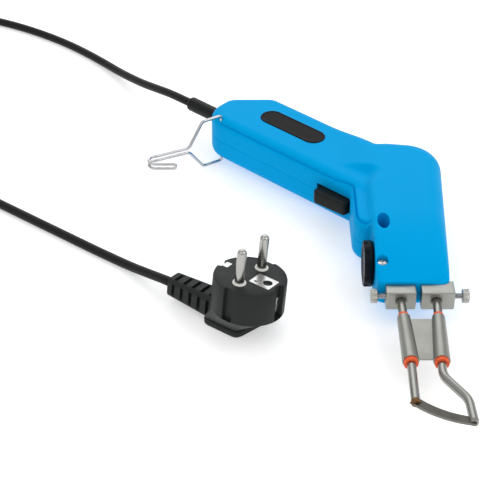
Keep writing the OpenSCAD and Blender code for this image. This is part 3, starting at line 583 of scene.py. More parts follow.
def linear(rgb: Sequence[float]) -> tuple[float, float, float]:
    """Screen colour of 0 to 255 as linear light.

    Args:
        rgb: red, green and blue.

    Returns:
        The three linear values.
    """
    c = np.array(rgb, float) / 255
    light = np.where(c <= 0.04045, c / 12.92, ((c + 0.055) / 1.055) ** 2.4)
    return tuple(float(v) for v in light)


@dataclass(frozen=True)
class Plastic:
    """Moulded plastic: an even colour with slight clouds, a fine grain, and dull spots in the gloss."""

    name: str
    colour: tuple[float, float, float]
    roughness: float = 0.38
    cloud: float = 0.06
    grain: float = 1400.0
    depth: float = 0.00002
    specular: float = 0.2
    tint: tuple[float, float, float] = (1.0, 1.0, 1.0)

    def make(self) -> bpy.types.Material:
        """Builds the material.

        Returns:
            The material.
        """
        r = Recipe(self.name)
        base = np.array(linear(self.colour))
        clouds = r.noise(45.0)
        r.feed("Base Color", r.mix(clouds, base * (1 - self.cloud), base * (1 + self.cloud)))
        r.feed("Roughness", r.noise(160.0) * 0.12 + (self.roughness - 0.06))
        r.feed("Specular IOR Level", self.specular)
        r.feed("Specular Tint", (*self.tint, 1.0))
        r.bump(r.noise(self.grain, 2.0), self.depth)
        return r.material


@dataclass(frozen=True)
class Rubber:
    """Soft black sheath: dull, with fine dust and a fine grain."""

    name: str
    colour: tuple[float, float, float]
    roughness: float = 0.5
    dust: float = 0.25
    specular: float = 0.2

    def make(self) -> bpy.types.Material:
        """Builds the material.

        Returns:
            The material.
        """
        r = Recipe(self.name)
        base = np.array(linear(self.colour))
        specks = r.noise(700.0, 4.0) ** 3.0
        dusty = specks * self.dust + r.noise(60.0) * 0.3
        r.feed("Base Color", r.mix(dusty, base * 0.85, base * 1.4 + 0.002))
        r.feed("Roughness", r.noise(240.0) * 0.16 + (self.roughness - 0.08))
        r.feed("Specular IOR Level", self.specular)
        r.bump(r.noise(1800.0, 2.0), 0.00002)
        return r.material


@dataclass(frozen=True)
class Metal:
    """Plated or plain metal: fine lines from drawing or turning, with patches of dull and bright."""

    name: str
    colour: tuple[float, float, float]
    roughness: float = 0.25
    lines: tuple[float, float, float] = (300.0, 2500.0, 2500.0)
    stain: float = 0.12
    stain_colour: tuple[float, float, float] = (150, 140, 125)

    def make(self) -> bpy.types.Material:
        """Builds the material.

        Returns:
            The material.
        """
        r = Recipe(self.name)
        base = np.array(linear(self.colour))
        dark = np.array(linear(self.stain_colour)) * 0.8
        patches = r.noise(130.0, 4.0)
        r.feed("Base Color", r.mix(patches ** 2.0 * (4 * self.stain), base, dark))
        r.feed("Metallic", 1.0)
        scratch = r.noise(1.0, 2.0, r.stretched(self.lines))
        r.feed("Roughness", patches * 0.12 + scratch * 0.1 + (self.roughness - 0.1))
        r.bump(scratch, 0.000012)
        return r.material


@dataclass(frozen=True)
class HeatedSteel:
    """Blade steel: grey, browned by heat in bands along its length."""

    name: str
    cool: tuple[float, float, float] = (92, 92, 87)
    burnt: tuple[float, float, float] = (74, 70, 62)

    def make(self) -> bpy.types.Material:
        """Builds the material.

        Returns:
            The material.
        """
        r = Recipe(self.name)
        bands = r.noise(1.0, 3.0, r.stretched((160.0, 160.0, 20.0)))
        r.feed("Base Color", r.mix(bands, linear(self.cool), linear(self.burnt)))
        r.feed("Metallic", 0.85)
        r.feed("Roughness", bands * 0.25 + 0.28)
        r.bump(r.noise(1.0, 2.0, r.stretched((900.0, 900.0, 5000.0))), 0.00002)
        return r.material


class Finishes:
    """Every finish of the tool, made once."""

    def __init__(self) -> None:
        """Makes the materials."""
        blue, sky_tint = (0, 160, 224), (0.0, 0.5, 1.0)
        self.housing = Plastic("housing_blue", blue, 0.46, 0.03, 1500.0, 0.000012, 0.035, sky_tint).make()
        self.nameplate = Plastic("nameplate_black", (12, 9, 13), 0.42, 0.1, 900.0, 0.00001, 0.08).make()
        self.trigger = Plastic("trigger_black", (20, 22, 21), 0.42, 0.1, specular=0.15).make()
        self.dial = Plastic("dial_black", (6, 15, 23), 0.4, 0.12, specular=0.1).make()
        self.mark = Plastic("mark_grey", (190, 192, 194), 0.5).make()
        self.nylon = Plastic("white_nylon", (236, 236, 230), 0.45).make()
        self.grey = Plastic("grey_moulding", (78, 78, 82), 0.5).make()
        self.brown = Plastic("brown_moulding", (112, 74, 50), 0.55, 0.15).make()
        self.orange = Plastic("orange_tube", (232, 96, 54), 0.4, 0.05, 900.0).make()
        self.live = Plastic("brown_lead", (120, 66, 36), 0.4).make()
        self.neutral = Plastic("blue_lead", (30, 92, 180), 0.4).make()
        self.cord = Rubber("cord_black", (18, 19, 20), 0.46).make()
        self.plug = Rubber("plug_grey", (34, 36, 36), 0.5).make()
        self.tie = Rubber("tie_black", (26, 26, 27), 0.6, 0.4).make()
        self.zinc = Metal("bright_zinc", (196, 197, 199), 0.22).make()
        drawn = (2500.0, 250.0, 2500.0)
        self.steel = Metal("plain_steel", (150, 151, 145), 0.4, drawn, 0.06, (122, 121, 115)).make()
        self.satin = Metal("satin_nickel", (160, 161, 156), 0.38, stain=0.05).make()
        self.nickel = Metal("polished_nickel", (176, 176, 172), 0.18, stain=0.06).make()
        self.edge = Metal("ground_edge", (138, 137, 131), 0.34, (2500.0, 2500.0, 300.0), 0.08).make()
        self.leg = Metal("leg_steel", (150, 150, 147), 0.24, stain=0.08).make()
        self.copper = Metal("copper", (205, 128, 84), 0.35).make()
        self.core = Metal("core_steel", (96, 92, 88), 0.5).make()
        self.braze = Metal("brazing", (128, 98, 66), 0.45, stain=0.2, stain_colour=(80, 60, 44)).make()
        self.blade = HeatedSteel("heated_steel").make()


# Making pieces


class Workshop:
    """Turns surfaces into pieces that ride on the tool's bodies."""

    def __init__(self, frame: dict[str, Any]) -> None:
        """Keeps the frame and makes the finishes."""
        self.frame = frame
        self.finish = Finishes()

    def mesh_object(self, name: str, surface: Surface, clean: bool = True) -> bpy.types.Object:
        """A mesh of a surface, with doubles merged and faces turned outwards.

        Args:
            name: the object's name.
            surface: the surface in millimetres.
            clean: whether doubles are merged and faces turned.

        Returns:
            The linked object.
        """
        mesh = bpy.data.meshes.new(name)
        faces = surface.quads.tolist() + surface.tris.tolist()
        mesh.from_pydata((surface.points * MM).tolist(), [], faces)
        if clean:
            bm = bmesh.new()
            bm.from_mesh(mesh)
            bmesh.ops.remove_doubles(bm, verts=bm.verts, dist=MERGE_DISTANCE)
            bmesh.ops.dissolve_degenerate(bm, edges=bm.edges, dist=SLIVER_DISTANCE)
            bmesh.ops.recalc_face_normals(bm, faces=bm.faces)
            bm.to_mesh(mesh)
            bm.free()
        obj = bpy.data.objects.new(name, mesh)
        bpy.context.scene.collection.objects.link(obj)
        return obj

    def boolean(self, obj: bpy.types.Object, tool: Surface, operation: str) -> None:
        """Joins a solid to an object, or cuts it out, and works the change into the object's mesh.

        Args:
            obj: the object that changes.
            tool: the other solid.
            operation: Blender's name of the operation.
        """
        other = self.mesh_object("tool", tool)
        change = obj.modifiers.new("change", "BOOLEAN")
        change.operation, change.object, change.solver = operation, other, "EXACT"
        graph = bpy.context.evaluated_depsgraph_get()
        mesh = bpy.data.meshes.new_from_object(obj.evaluated_get(graph))
        obj.modifiers.clear()
        obj.data = mesh
        bpy.data.objects.remove(other)

    def dress(
        self,
        obj: bpy.types.Object,
        material: bpy.types.Material,
        body: str,
        slot: str,
        nodes: Sequence[str] = (),
        sharp: float = 38.0,
    ) -> bpy.types.Object:
        """Gives a piece its finish, its body and the nodes that it stands for.

        Args:
            obj: the piece.
            material: its finish.
            body: the body that it moves with.
            slot: the record's material slot; not used.
            nodes: CAD nodes that it stands for.
            sharp: angle in degrees past which an edge stays sharp.

        Returns:
            The piece.
        """
        obj.data.materials.clear()
        obj.data.materials.append(material)
        obj.data.shade_smooth()
        obj.data.set_sharp_from_angle(angle=math.radians(sharp))
        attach(obj, body)
        if nodes:
            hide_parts(*nodes)
        LOG.info("%s: %d faces", obj.name, len(obj.data.polygons))
        return obj

    def piece(self, name: str, surface: Surface, *args: Any, **kwargs: Any) -> bpy.types.Object:
        """A mesh object of a surface whose heights are over the table, dressed."""
        return self.dress(self.mesh_object(name, surface), *args, **kwargs)

    def paint_nodes(self, names: Sequence[str], material: bpy.types.Material) -> None:
        """Gives CAD nodes that stay in view a finish.

        Args:
            names: the nodes.
            material: their finish.
        """
        for name in names:
            mesh = self.frame["nodes"][name].data
            mesh.materials.clear()
            mesh.materials.append(material)


# Camera, floor and lights


@dataclass
class Studio:
    """A pale table under soft light, seen as in the photograph."""

    target: tuple[float, float, float] = (-89.0, -10.0, 18.0)
    distance: float = 750.0
    elevation: float = 37.0
    focal_pixels: float = 1425.0
    image_pixels: float = 480.0
    sensor: float = 36.0
    far_clip: float = 20.0
    table_half: float = 4000.0
    table_z: float = -0.05
    table_glow: float = 0.4
    sky: float = 0.7
    aim: tuple[float, float, float] = (-0.06, 0.0, 0.02)

    def camera(self) -> None:
        """Places the camera on its target at the photograph's angle."""
        data = bpy.data.cameras.new("camera")
        data.sensor_width = self.sensor
        data.lens = self.sensor * self.focal_pixels / self.image_pixels
        data.clip_end = self.far_clip
        obj = bpy.data.objects.new("camera", data)
        tilt = math.radians(self.elevation)
        back = np.array([0, -math.cos(tilt), math.sin(tilt)]) * self.distance
        obj.location = (np.array(self.target) + back) * MM
        obj.rotation_euler = (math.pi / 2 - tilt, 0, 0)
        bpy.context.scene.collection.objects.link(obj)
        bpy.context.scene.camera = obj

    def floor(self, shop: Workshop) -> None:
        """A wide pale table top.

        Args:
            shop: makes the table's mesh.
        """
        side = np.linspace(-self.table_half, self.table_half, 9)
        x, y = np.meshgrid(side, side)
        rows = np.stack([x, y, np.full_like(x, self.table_z)], axis=-1)
        obj = shop.mesh_object("table_top", grid(rows, False, False), clean=False)
        recipe = Recipe("pale_table")
        recipe.feed("Base Color", recipe.mix(recipe.noise(3.0), (0.8, 0.8, 0.8), (0.83, 0.83, 0.83)))
        recipe.feed("Roughness", 0.8)
        recipe.feed("Emission Color", (1.0, 1.0, 1.0, 1.0))
        recipe.feed("Emission Strength", self.table_glow)
        obj.data.materials.append(recipe.material)

    def light(self, name: str, place: Sequence[float], size: float, power: float) -> None:
        """A square soft light that faces the tool.

        Args:
            name: the light's name.
            place: where it stands, in metres.
            size: its side, in metres.
            power: its power in watts.
        """
        data = bpy.data.lights.new(name, "AREA")
        data.size, data.energy = size, power
        obj = bpy.data.objects.new(name, data)
        obj.location = place
        obj.rotation_euler = (Vector(self.aim) - Vector(place)).to_track_quat("-Z", "Y").to_euler()
        bpy.context.scene.collection.objects.link(obj)

    def build(self, shop: Workshop) -> None:
        """Camera, floor, sky and lights.

        Args:
            shop: makes the table's mesh.
        """
        self.camera()
        self.floor(shop)
        scene = bpy.context.scene
        scene.view_settings.view_transform = "Standard"
        world = bpy.data.worlds.new("studio")
        world.use_nodes = True
        sky = next(n for n in world.node_tree.nodes if n.type == "BACKGROUND")
        sky.inputs["Color"].default_value = (1, 1, 1, 1)
        sky.inputs["Strength"].default_value = self.sky
        scene.world = world
        self.light("key", (0.75, -0.35, 1.0), 0.8, 3.4)
        self.light("fill", (-0.6, -0.5, 1.0), 0.9, 2.0)
        self.light("back", (-0.1, 1.0, 0.8), 1.0, 4.0)


# Housing


@dataclass
class Lump:
    """One of the rounded masses that the housing is made of."""

    corners: Array
    half: float
    edge: float

    def depth(self, plan: Array) -> Array:
        """Distance of plan points from the outline, positive inside.

        Args:
            plan: plan points.

        Returns:
            The distance at each point.
        """
        angles = side_angles(self.corners)
        normals = np.stack([np.cos(angles), np.sin(angles)], axis=-1)
        offsets = (normals * self.corners[:, :2]).sum(axis=1) + self.corners[:, 2]
        inside = (offsets - plan @ normals.T).min(axis=-1)
        for k, (x, y, r) in enumerate(self.corners):
            v = plan - (x, y)
            a, b = normals[k - 1], normals[k]
            sector = (a[0] * v[..., 1] - a[1] * v[..., 0] >= 0) & (v[..., 0] * b[1] - v[..., 1] * b[0] >= 0)
            inside = np.where(sector, np.minimum(inside, r - np.hypot(v[..., 0], v[..., 1])), inside)
        return inside

    def height(self, plan: Array, rise: Union[float, Array] = 0.0, edge: Optional[Array] = None) -> Array:
        """Height over the joint: flat inside, a quarter circle at the edge, and falling away outside.

        Args:
            plan: plan points.
            rise: extra height and edge rounding at each point.
            edge: edge rounding at each point, where it isn't the same all round.

        Returns:
            The height at each point.
        """
        d = self.depth(plan)
        e = (self.edge if edge is None else edge) + rise
        x = np.clip(d / e, 0, 1)
        return self.half + rise - e + e * np.sqrt(1 - (1 - x) ** 2) + 2 * np.minimum(d, 0)


def smooth_max(a: Array, b: Array, k: float) -> Array:
    """The greater of two heights, with a hollow fillet of size k where they cross."""
    h = np.maximum(k - np.abs(a - b), 0) / k
    return np.maximum(a, b) + h * h * k / 4


@dataclass
class Housing:
    """Two moulded halves with a raised head, a tilted handle, a finger guard and a sloped nose."""

    head_half: float = 18.0
    head_edge: float = 9.5
    front_edge: float = 3.0
    handle_half: float = 14.0
    handle_edge: float = 6.0
    guard_half: float = 13.0
    guard_edge: float = 5.0
    nose_half: float = 10.0
    nose_edge: float = 3.0
    wall: float = 2.2
    slope_start: float = -26.0
    slope_fall: float = 11.0 / 28.0
    slope_blend: float = 8.0
    fillet: float = 3.0
    joint_fillet: float = 1.5
    rise_x: tuple[float, float] = (-37.0, -16.0)
    ridge: tuple[float, float, float] = (-6.5, 0.35, -26.0)
    ridge_half: float = 2.5
    front_y: tuple[float, float] = (-30.0, -16.0)
    front_x: tuple[float, float] = (-2.0, 10.0)
    groove_in: float = 1.3
    groove_shift: float = 0.7
    groove_depth: float = 1.7
    groove_half: float = 0.7
    groove_guard: tuple[float, float] = (-34.0, -22.0)
    groove_tail: tuple[float, float] = (-119.0, -116.0)
    groove_end: tuple[float, float] = (-13.0, -11.0)
    groove_under: tuple[float, float] = (8.0, 11.0)
    groove_left: tuple[float, float] = (5.0, 10.0)
    screw_seat: float = 6.0
    screw_hole_r: float = 3.2
    long_hole: tuple[float, float] = (1.03, 1.85)
    snug_hole: tuple[float, float] = (0.94, 0.94)
    near_screws: Line = ((-15.0, -16.0), (-17.2, -42.0))
    far_screws: Line = ((8.5, 46.4), (-66.12, 99.02), (-32.68, 68.91))
    post_r: float = 4.6
    long_post: tuple[float, float] = (4.8, 7.6)
    post_low: float = 4.0
    post_under: float = 0.8
    post_limit: float = -20.2
    nose_head_rise: float = 2.4
    handle_depth: float = 20.75
    guard_front: float = -29.5
    head_front: float = -20.5
    crown: tuple[float, float, float] = (1.5, 40.4, 20.0)
    shoulder: tuple[float, float, float] = (-8.0, 49.3, 12.5)
    guard_corner: tuple[float, float, float] = (-19.5, -4.0, 10.0)
    nose_x: tuple[float, float] = (-16.5, 12.1)
    nose_y: tuple[float, float] = (-50.0, -26.0)
    nose_r: float = 4.0
    tail_corners: Line = ((-107, 10.75, 10), (-121, -2, 10), (-117, -6.75, 14))
    trigger_slot: tuple[float, float, float, float] = (-44.0, -18.5, -33.0, -11.4)
    trigger_slot_half: float = 4.1
    block_spans: Line = ((-16.35, -1.25), (1.25, 18.075))
    block_y: tuple[float, float] = (-66.0, -50.0)
    block_slot_half: float = 5.35
    boot_hole_r: float = 4.25
    shaft: tuple[float, float] = (-15.0, -30.0)
    shaft_hole_r: float = 3.75
    hook_hole_r: float = 1.0
    plate_half: tuple[float, float] = (22.0, 6.75)
    plate_place: tuple[float, float] = (-81.0, 1.7)

    def lumps(self) -> list[Lump]:
        """Head, handle, guard and nose.

        Returns:
            The four masses, in that order.
        """
        handle = np.array([(-4, -12.75, 8), (-4, 12.75, 8), *self.tail_corners], float)
        handle[:, :2] = from_handle(handle[:, 0], handle[:, 1])
        head = np.array([(5.6, -43.5, 10.5), self.crown, self.shoulder, (-10, -43.5, 10.5)], float)
        guard = np.array([self.guard_corner, (-10, -4, 10), (-10, 22, 8), (-21.5, 22, 8)], float)
        (left, right), (low, high) = self.nose_x, self.nose_y
        nose = np.array([(left, low), (right, low), (right, high), (left, high)])
        nose = np.column_stack([nose, np.full(len(nose), self.nose_r)])
        return [
            Lump(head, self.head_half, self.head_edge),
            Lump(handle, self.handle_half, self.handle_edge),
            Lump(guard, self.guard_half, self.guard_edge),
            Lump(nose, self.nose_half, self.nose_edge),
        ]

    def corners(self) -> Array:
        """Corner circles of the whole outline. The hollow ones touch both of their neighbours.

        Returns:
            x, y and radius of each circle, turning left.
        """
        back, guard_in, nose_in = 14.0, 3.0, 2.0
        depth, shoulder_r = self.handle_depth, self.shoulder[2]
        along, across = to_handle(np.array(self.shoulder[:2]))
        a = along - math.sqrt((shoulder_r + back) ** 2 - (depth + back - across) ** 2)
        neck = from_handle(a, depth + back)
        n = -depth - guard_in
        under = from_handle((self.guard_front - guard_in - n * math.sin(TILT)) / math.cos(TILT), n)
        guard_x, guard_y, guard_r = self.guard_corner
        past = guard_x - self.head_front + nose_in
        y = guard_y - math.sqrt((guard_r + nose_in) ** 2 - past**2)
        tail = [(*from_handle(u, v), r) for u, v, r in self.tail_corners]
        (left, right), low = self.nose_x, self.nose_y[0]
        return np.array(
            [
                (right, low, self.nose_r),
                self.crown,
                self.shoulder,
                (*neck, -back),
                *tail,
                (*under, -guard_in),
                self.guard_corner,
                (self.head_front - nose_in, y, -nose_in),
                (left, low, self.nose_r),
            ]
        )

    def height(self, plan: Array) -> Array:
        """Height of the outer face over the joint: the highest lump, filleted, under the slope of the nose.

        The handle rises to the head's height where it runs into the head, above a ridge that climbs along
        it. The head's edge is tighter beside the guard and the dial.

        Args:
            plan: plan points.

        Returns:
            The height at each point.
        """
        a, n = to_handle(plan)
        x, y = plan[..., 0], plan[..., 1]
        ridge_n, ridge_climb, ridge_start = self.ridge
        over = n - ridge_n - ridge_climb * (a - ridge_start)
        above = smoothstep(over, -self.ridge_half, self.ridge_half)
        rise = (self.head_half - self.handle_half) * smoothstep(x, *self.rise_x) * above
        tight = smoothstep(-y, *self.front_y) * smoothstep(-x, *self.front_x)
        edge = self.head_edge + (self.front_edge - self.head_edge) * tight
        lumps = self.lumps()
        head = lumps[0].height(plan, edge=edge)
        handle = lumps[1].height(plan, rise)
        guard, nose = (lump.height(plan) for lump in lumps[2:])
        body = np.minimum(smooth_max(head, handle, self.fillet), self.head_half)
        z = smooth_max(body, smooth_max(guard, nose, self.joint_fillet), self.fillet)
        slope = self.head_half + (y - self.slope_start) * self.slope_fall
        return -smooth_max(-z, -slope, self.slope_blend)

    def groove(self, plan: Array, inset: Array) -> Array:
        """Depth of the line along the finger side, by each point's distance in from the outline.

        It starts past the tail, ends beside the dial, and lies a little further in along the guard.

        Args:
            plan: plan points.
            inset: their distances in from the outline.

        Returns:
            The depth at each point.
        """
        a, n = to_handle(plan)
        x, y = plan[..., 0], plan[..., 1]
        middle = self.groove_in + self.groove_shift * smoothstep(a, *self.groove_guard)
        reach = smoothstep(a, *self.groove_tail) * smoothstep(y, *self.groove_end)
        reach = reach * smoothstep(-n, *self.groove_under) * smoothstep(-x, *self.groove_left)
        return self.groove_depth * reach * np.clip(1 - np.abs(inset - middle) / self.groove_half, 0, 1)

    def skin(self, inset: float) -> Surface:
        """Face of one half, from the joint up: side wall, rounded edge in rings, and face in triangles.

        Args:
            inset: distance in from the outer face, which alone has the parting bevel and the groove.

        Returns:
            The open surface, whose first points are the loop at the joint.
        """
        points, outward = outline(self.corners(), 1.0)
        points = points - inset * outward
        fine = np.concatenate([[0.03, 0.1, 0.22, 0.4], np.arange(0.55, 2.85, 0.1), [3.0, 3.2, 3.5]])
        insets = np.array([0.4, 0.8, 1.2, 1.6]) if inset else fine
        drop = np.array([0.0, 0.05, 0.2, 0.4, 0.6, 0.8, 1.0])
        parting = 0.0 if inset else 0.22
        bevel = np.where(drop > 0, 0.0, parting)
        rim = self.height(points) - inset
        wall_plan = points[None] - bevel[:, None, None] * outward[None]
        wall = np.concatenate([wall_plan, (drop[:, None] * rim[None])[..., None]], axis=-1)
        plan = points[None] - insets[:, None, None] * outward[None]
        sunk = inset if inset else self.groove(plan, np.broadcast_to(insets[:, None], plan.shape[:2]))
        rings = np.concatenate([plan, (self.height(plan) - sunk)[..., None]], axis=-1)
        sides = grid(np.concatenate([wall, rings]), capped=False)
        face_step = 2.0 if inset else 1.15
        return sides + self.face(plan[-1], inset, face_step)

    def face(self, loop: Array, inset: float, step: float) -> Surface:
        """Triangles inside a loop of plan points, over a grid of further points.

        Args:
            loop: the plan points of the face's edge.
            inset: distance below the outer face.
            step: distance between the grid's points.

        Returns:
            The face, at its height.
        """
        low, high = loop.min(axis=0), loop.max(axis=0)
        x, y = np.meshgrid(np.arange(low[0], high[0], step), np.arange(low[1], high[1], step))
        inner = np.stack([x, y], axis=-1).reshape(-1, 2)
        inner = inner[self.winding(inner, loop)]
        apart = (inner**2).sum(axis=1)[:, None] + (loop**2).sum(axis=1)[None] - 2 * inner @ loop.T
        inner = inner[apart.min(axis=1) > (0.6 * step) ** 2]
        plan = np.vstack([loop, inner])
        edges = [(k, (k + 1) % len(loop)) for k in range(len(loop))]
        out = delaunay_2d_cdt([Vector(p) for p in plan], edges, [], 0, 1e-6)
        points = np.array([tuple(v) for v in out[0]])
        tris = np.array([f for f in out[2] if len(f) == 3])
        tris = tris[self.winding(points[tris].mean(axis=1), loop)]
        return Surface(np.column_stack([points, self.height(points) - inset]), tris=tris)

    def shell(self) -> Surface:
        """One half as a closed sheet: its outer and inner face, joined at the parting loop.

        Returns:
            The closed sheet, with heights over the joint.
        """
        outer, inner = self.skin(0.0), self.skin(self.wall)
        count = len(outline(self.corners(), 1.0)[0])
        k = np.arange(count)
        nxt = (k + 1) % count
        rim = np.stack([k, nxt, nxt + len(outer.points), k + len(outer.points)], axis=-1)
        both = outer + inner
        return Surface(both.points, np.vstack([both.quads, rim]), both.tris)

    @staticmethod
    def winding(plan: Array, loop: Array) -> Array:
        """Whether each plan point lies inside a loop, by the crossings of a ray along X.

        Args:
            plan: plan points.
            loop: corners of the loop.

        Returns:
            True for each point inside.
        """
        a, b = loop[None], np.roll(loop, -1, axis=0)[None]
        x, y = plan[:, None, 0], plan[:, None, 1]
        spans = (a[..., 1] > y) != (b[..., 1] > y)
        rise = np.where(spans, b[..., 1] - a[..., 1], 1.0)
        cross = a[..., 0] + (y - a[..., 1]) * (b[..., 0] - a[..., 0]) / rise
        return (spans & (x < cross)).sum(axis=1) % 2 == 1

    def wells(self, side: Side) -> list[Line]:
        """Plan place of each screw of a half, the shares of its well's radius and its post's half sizes.

        Args:
            side: the half.

        Returns:
            One row for each screw.
        """
        post = (self.post_r, self.post_r)
        if side is Side.FAR:
            return [(place, (1.0, 1.0), post) for place in self.far_screws]
        return list(zip(self.near_screws, (self.long_hole, self.snug_hole), (self.long_post, post)))

    def cuts(self, side: Side) -> Surface:
        """Screw wells, slots and holes of one half, with heights over the joint.

        Args:
            side: the half.

        Returns:
            All the solids that are cut out.
        """
        well = lathe([(self.screw_hole_r, self.screw_seat), (self.screw_hole_r, 30)], 40)
        wells = self.wells(side)
        tools = [well.scaled(*shares, 1.0).moved((*place, 0)) for place, shares, _ in wells]
        slot = slab(box_corners(*self.trigger_slot, 0.8), -5.0, self.trigger_slot_half, 0.3)
        tools.append(slot.moved((0, BEND_Y, 0), HANDLE_AXES))
        for span in self.block_spans:
            tools.append(slab(box_corners(*span, *self.block_y, 0.3), -5, self.block_slot_half, 0.2))
        boot = lathe([(self.boot_hole_r, -10), (self.boot_hole_r, 14)], 40)
        tools.append(boot.moved((*from_handle(*TAIL), 0), axes_along(TAILWARDS)))
        shaft = lathe([(self.shaft_hole_r, 0), (self.shaft_hole_r, 9)], 32)
        tools.append(shaft.moved((*self.shaft, 0), axes_along((-1, 0, 0))))
        pin = lathe([(self.hook_hole_r, 8), (self.hook_hole_r, 20)], 24)
        tools.append(pin.moved((*from_handle(*HOOK_PIVOT), 0)))
        return sum(tools[1:], tools[0])

    def boss(self, x: float, y: float, rx: float, ry: float) -> Surface:
        """Post round a screw well, from inside the half up to just under its face.

        Args:
            x: plan place of the screw.
            y: plan place of the screw.
            rx: half width of the post, which stops short of the finger side.
            ry: half length of the post.

        Returns:
            The closed post.
        """
        a = np.linspace(0, 2 * np.pi, 48, endpoint=False)
        side = self.post_limit if y < 0 else -np.inf
        plan = np.stack([np.maximum(x + rx * np.cos(a), side), y + ry * np.sin(a)], axis=-1)
        low = np.column_stack([plan, np.full(len(a), self.post_low)])
        return grid(np.stack([low, np.column_stack([plan, self.height(plan) - self.post_under])]))

    def half(self, shop: Workshop, side: Side) -> None:
        """Builds one half with its thickness, its screw posts and its holes.

        Args:
            shop: makes and dresses the pieces.
            side: the half.
        """
        obj = shop.mesh_object(f"{side.word}_half", self.shell())
        posts = [self.boss(*place, *size) for place, _, size in self.wells(side)]
        shop.boolean(obj, sum(posts[1:], posts[0]), "UNION")
        shop.boolean(obj, self.cuts(side), "DIFFERENCE")
        co = coordinates(obj.data)
        co[:, 2] = JOINT_Z * MM + side.value * co[:, 2]
        obj.data.vertices.foreach_set("co", co.ravel())
        if side is Side.FAR:
            obj.data.flip_normals()
        shop.dress(obj, shop.finish.housing, "housing", "housing", [f"{side.word}_shell"])

    def screw(self) -> Surface:
        """A pan head over a plain shank.

        Returns:
            The screw, with heights over the joint.
        """
        shank = [(0, -7), (1.2, -7), (1.45, -6.6), (1.45, self.screw_seat)]
        head = [(2.9, self.screw_seat), (2.9, 7.1), (2.5, 7.9), (1.6, 8.2), (0, 8.2)]
        return lathe(shank + head, 32)

    def screws(self, shop: Workshop) -> None:
        """All housing screws in one piece, each with its cross. The one in the nose has a taller head.

        Args:
            shop: makes and dresses the pieces.
        """
        cross = slab(box_corners(-1.5, 1.5, -0.32, 0.32, 0.1), 7.1, 9.0, 0.05)
        quarter_turn = np.array([[0, 1, 0], [-1, 0, 0], [0, 0, 1]])
        obj = shop.mesh_object("screws", self.screw())
        shop.boolean(obj, cross, "DIFFERENCE")
        shop.boolean(obj, cross.moved((0, 0, 0), quarter_turn), "DIFFERENCE")
        co = coordinates(obj.data) / MM
        faces = [tuple(p.vertices) for p in obj.data.polygons]
        tall = co + np.outer(co[:, 2] > self.screw_seat + 0.5, (0, 0, self.nose_head_rise))
        places = [(co, *self.near_screws[0], 1), (tall, *self.near_screws[1], 1)]
        places += [(co, x, y, -1) for x, y in self.far_screws]
        points = np.vstack([form * (1, s, s) + (x, y, JOINT_Z) for form, x, y, s in places]) * MM
        loops = [tuple(v + k * len(co) for v in f) for k in range(len(places)) for f in faces]
        mesh = bpy.data.meshes.new("screws")
        mesh.from_pydata(points.tolist(), [], loops)
        obj.data = mesh
        shop.dress(obj, shop.finish.zinc, "housing", "fasteners", ["housing_screws"])

    def nameplate(self, shop: Workshop) -> None:
        """Blank long plate with round ends and a raised rim, set into the handle's face.

        Args:
            shop: makes and dresses the pieces.
        """
        inset = np.array([0.0, 0.0, 0.2, 0.5, 0.8, 1.0, 1.3, 5.0])
        height = np.array([13.55, 14.2, 14.4, 14.46, 14.4, 14.26, 14.24, 14.26])
        long, wide = self.plate_half
        surface = terraces(box_corners(-long, long, -wide, wide, wide - 0.01), inset, height)
        surface = surface.moved((*from_handle(*self.plate_place), 0), HANDLE_AXES).lifted()
        finish = shop.finish.nameplate
        shop.piece("nameplate_long", surface, finish, "housing", "nameplate", ["nameplate"])

    def build(self, shop: Workshop) -> None:
        """Both halves, the screws and the plate.

        Args:
            shop: makes and dresses the pieces.
        """
        for side in Side:
            self.half(shop, side)
        self.screws(shop)
        self.nameplate(shop)


# Trigger and dial


@dataclass
class Trigger:
    """Finger lever on its pin in the handle's underside."""

    pivot: tuple[float, float] = (-16.0, -15.0)
    half_width: float = 3.8
    edge: float = 0.8
    hub_r: float = 3.6
    hub_edge: float = 0.3

    def build(self, shop: Workshop) -> None:
        """Lever with rounded edges, joined to its hub.

        Args:
            shop: makes and dresses the pieces.
        """
        corners = [(-22.9, -10.4, 2.6), (-5.6, -9.9, 2.1), (-4.3, 1.2, 0.8), (-24.7, 1.2, 0.8)]
        half, r, e = self.half_width, self.hub_r, self.hub_edge
        lever = slab(corners, -half, half, self.edge)
        hub_profile = [(0, -half), (r - e, -half), (r, e - half)]
        hub_profile += [(out, -z) for out, z in hub_profile[::-1]]
        place = (*from_handle(*self.pivot), JOINT_Z)
        obj = shop.mesh_object("finger_trigger", lever.moved(place, HANDLE_AXES))
        shop.boolean(obj, lathe(hub_profile, 40).moved(place, HANDLE_AXES), "UNION")
        shop.dress(obj, shop.finish.trigger, "trigger", "black_plastic", ["trigger"])


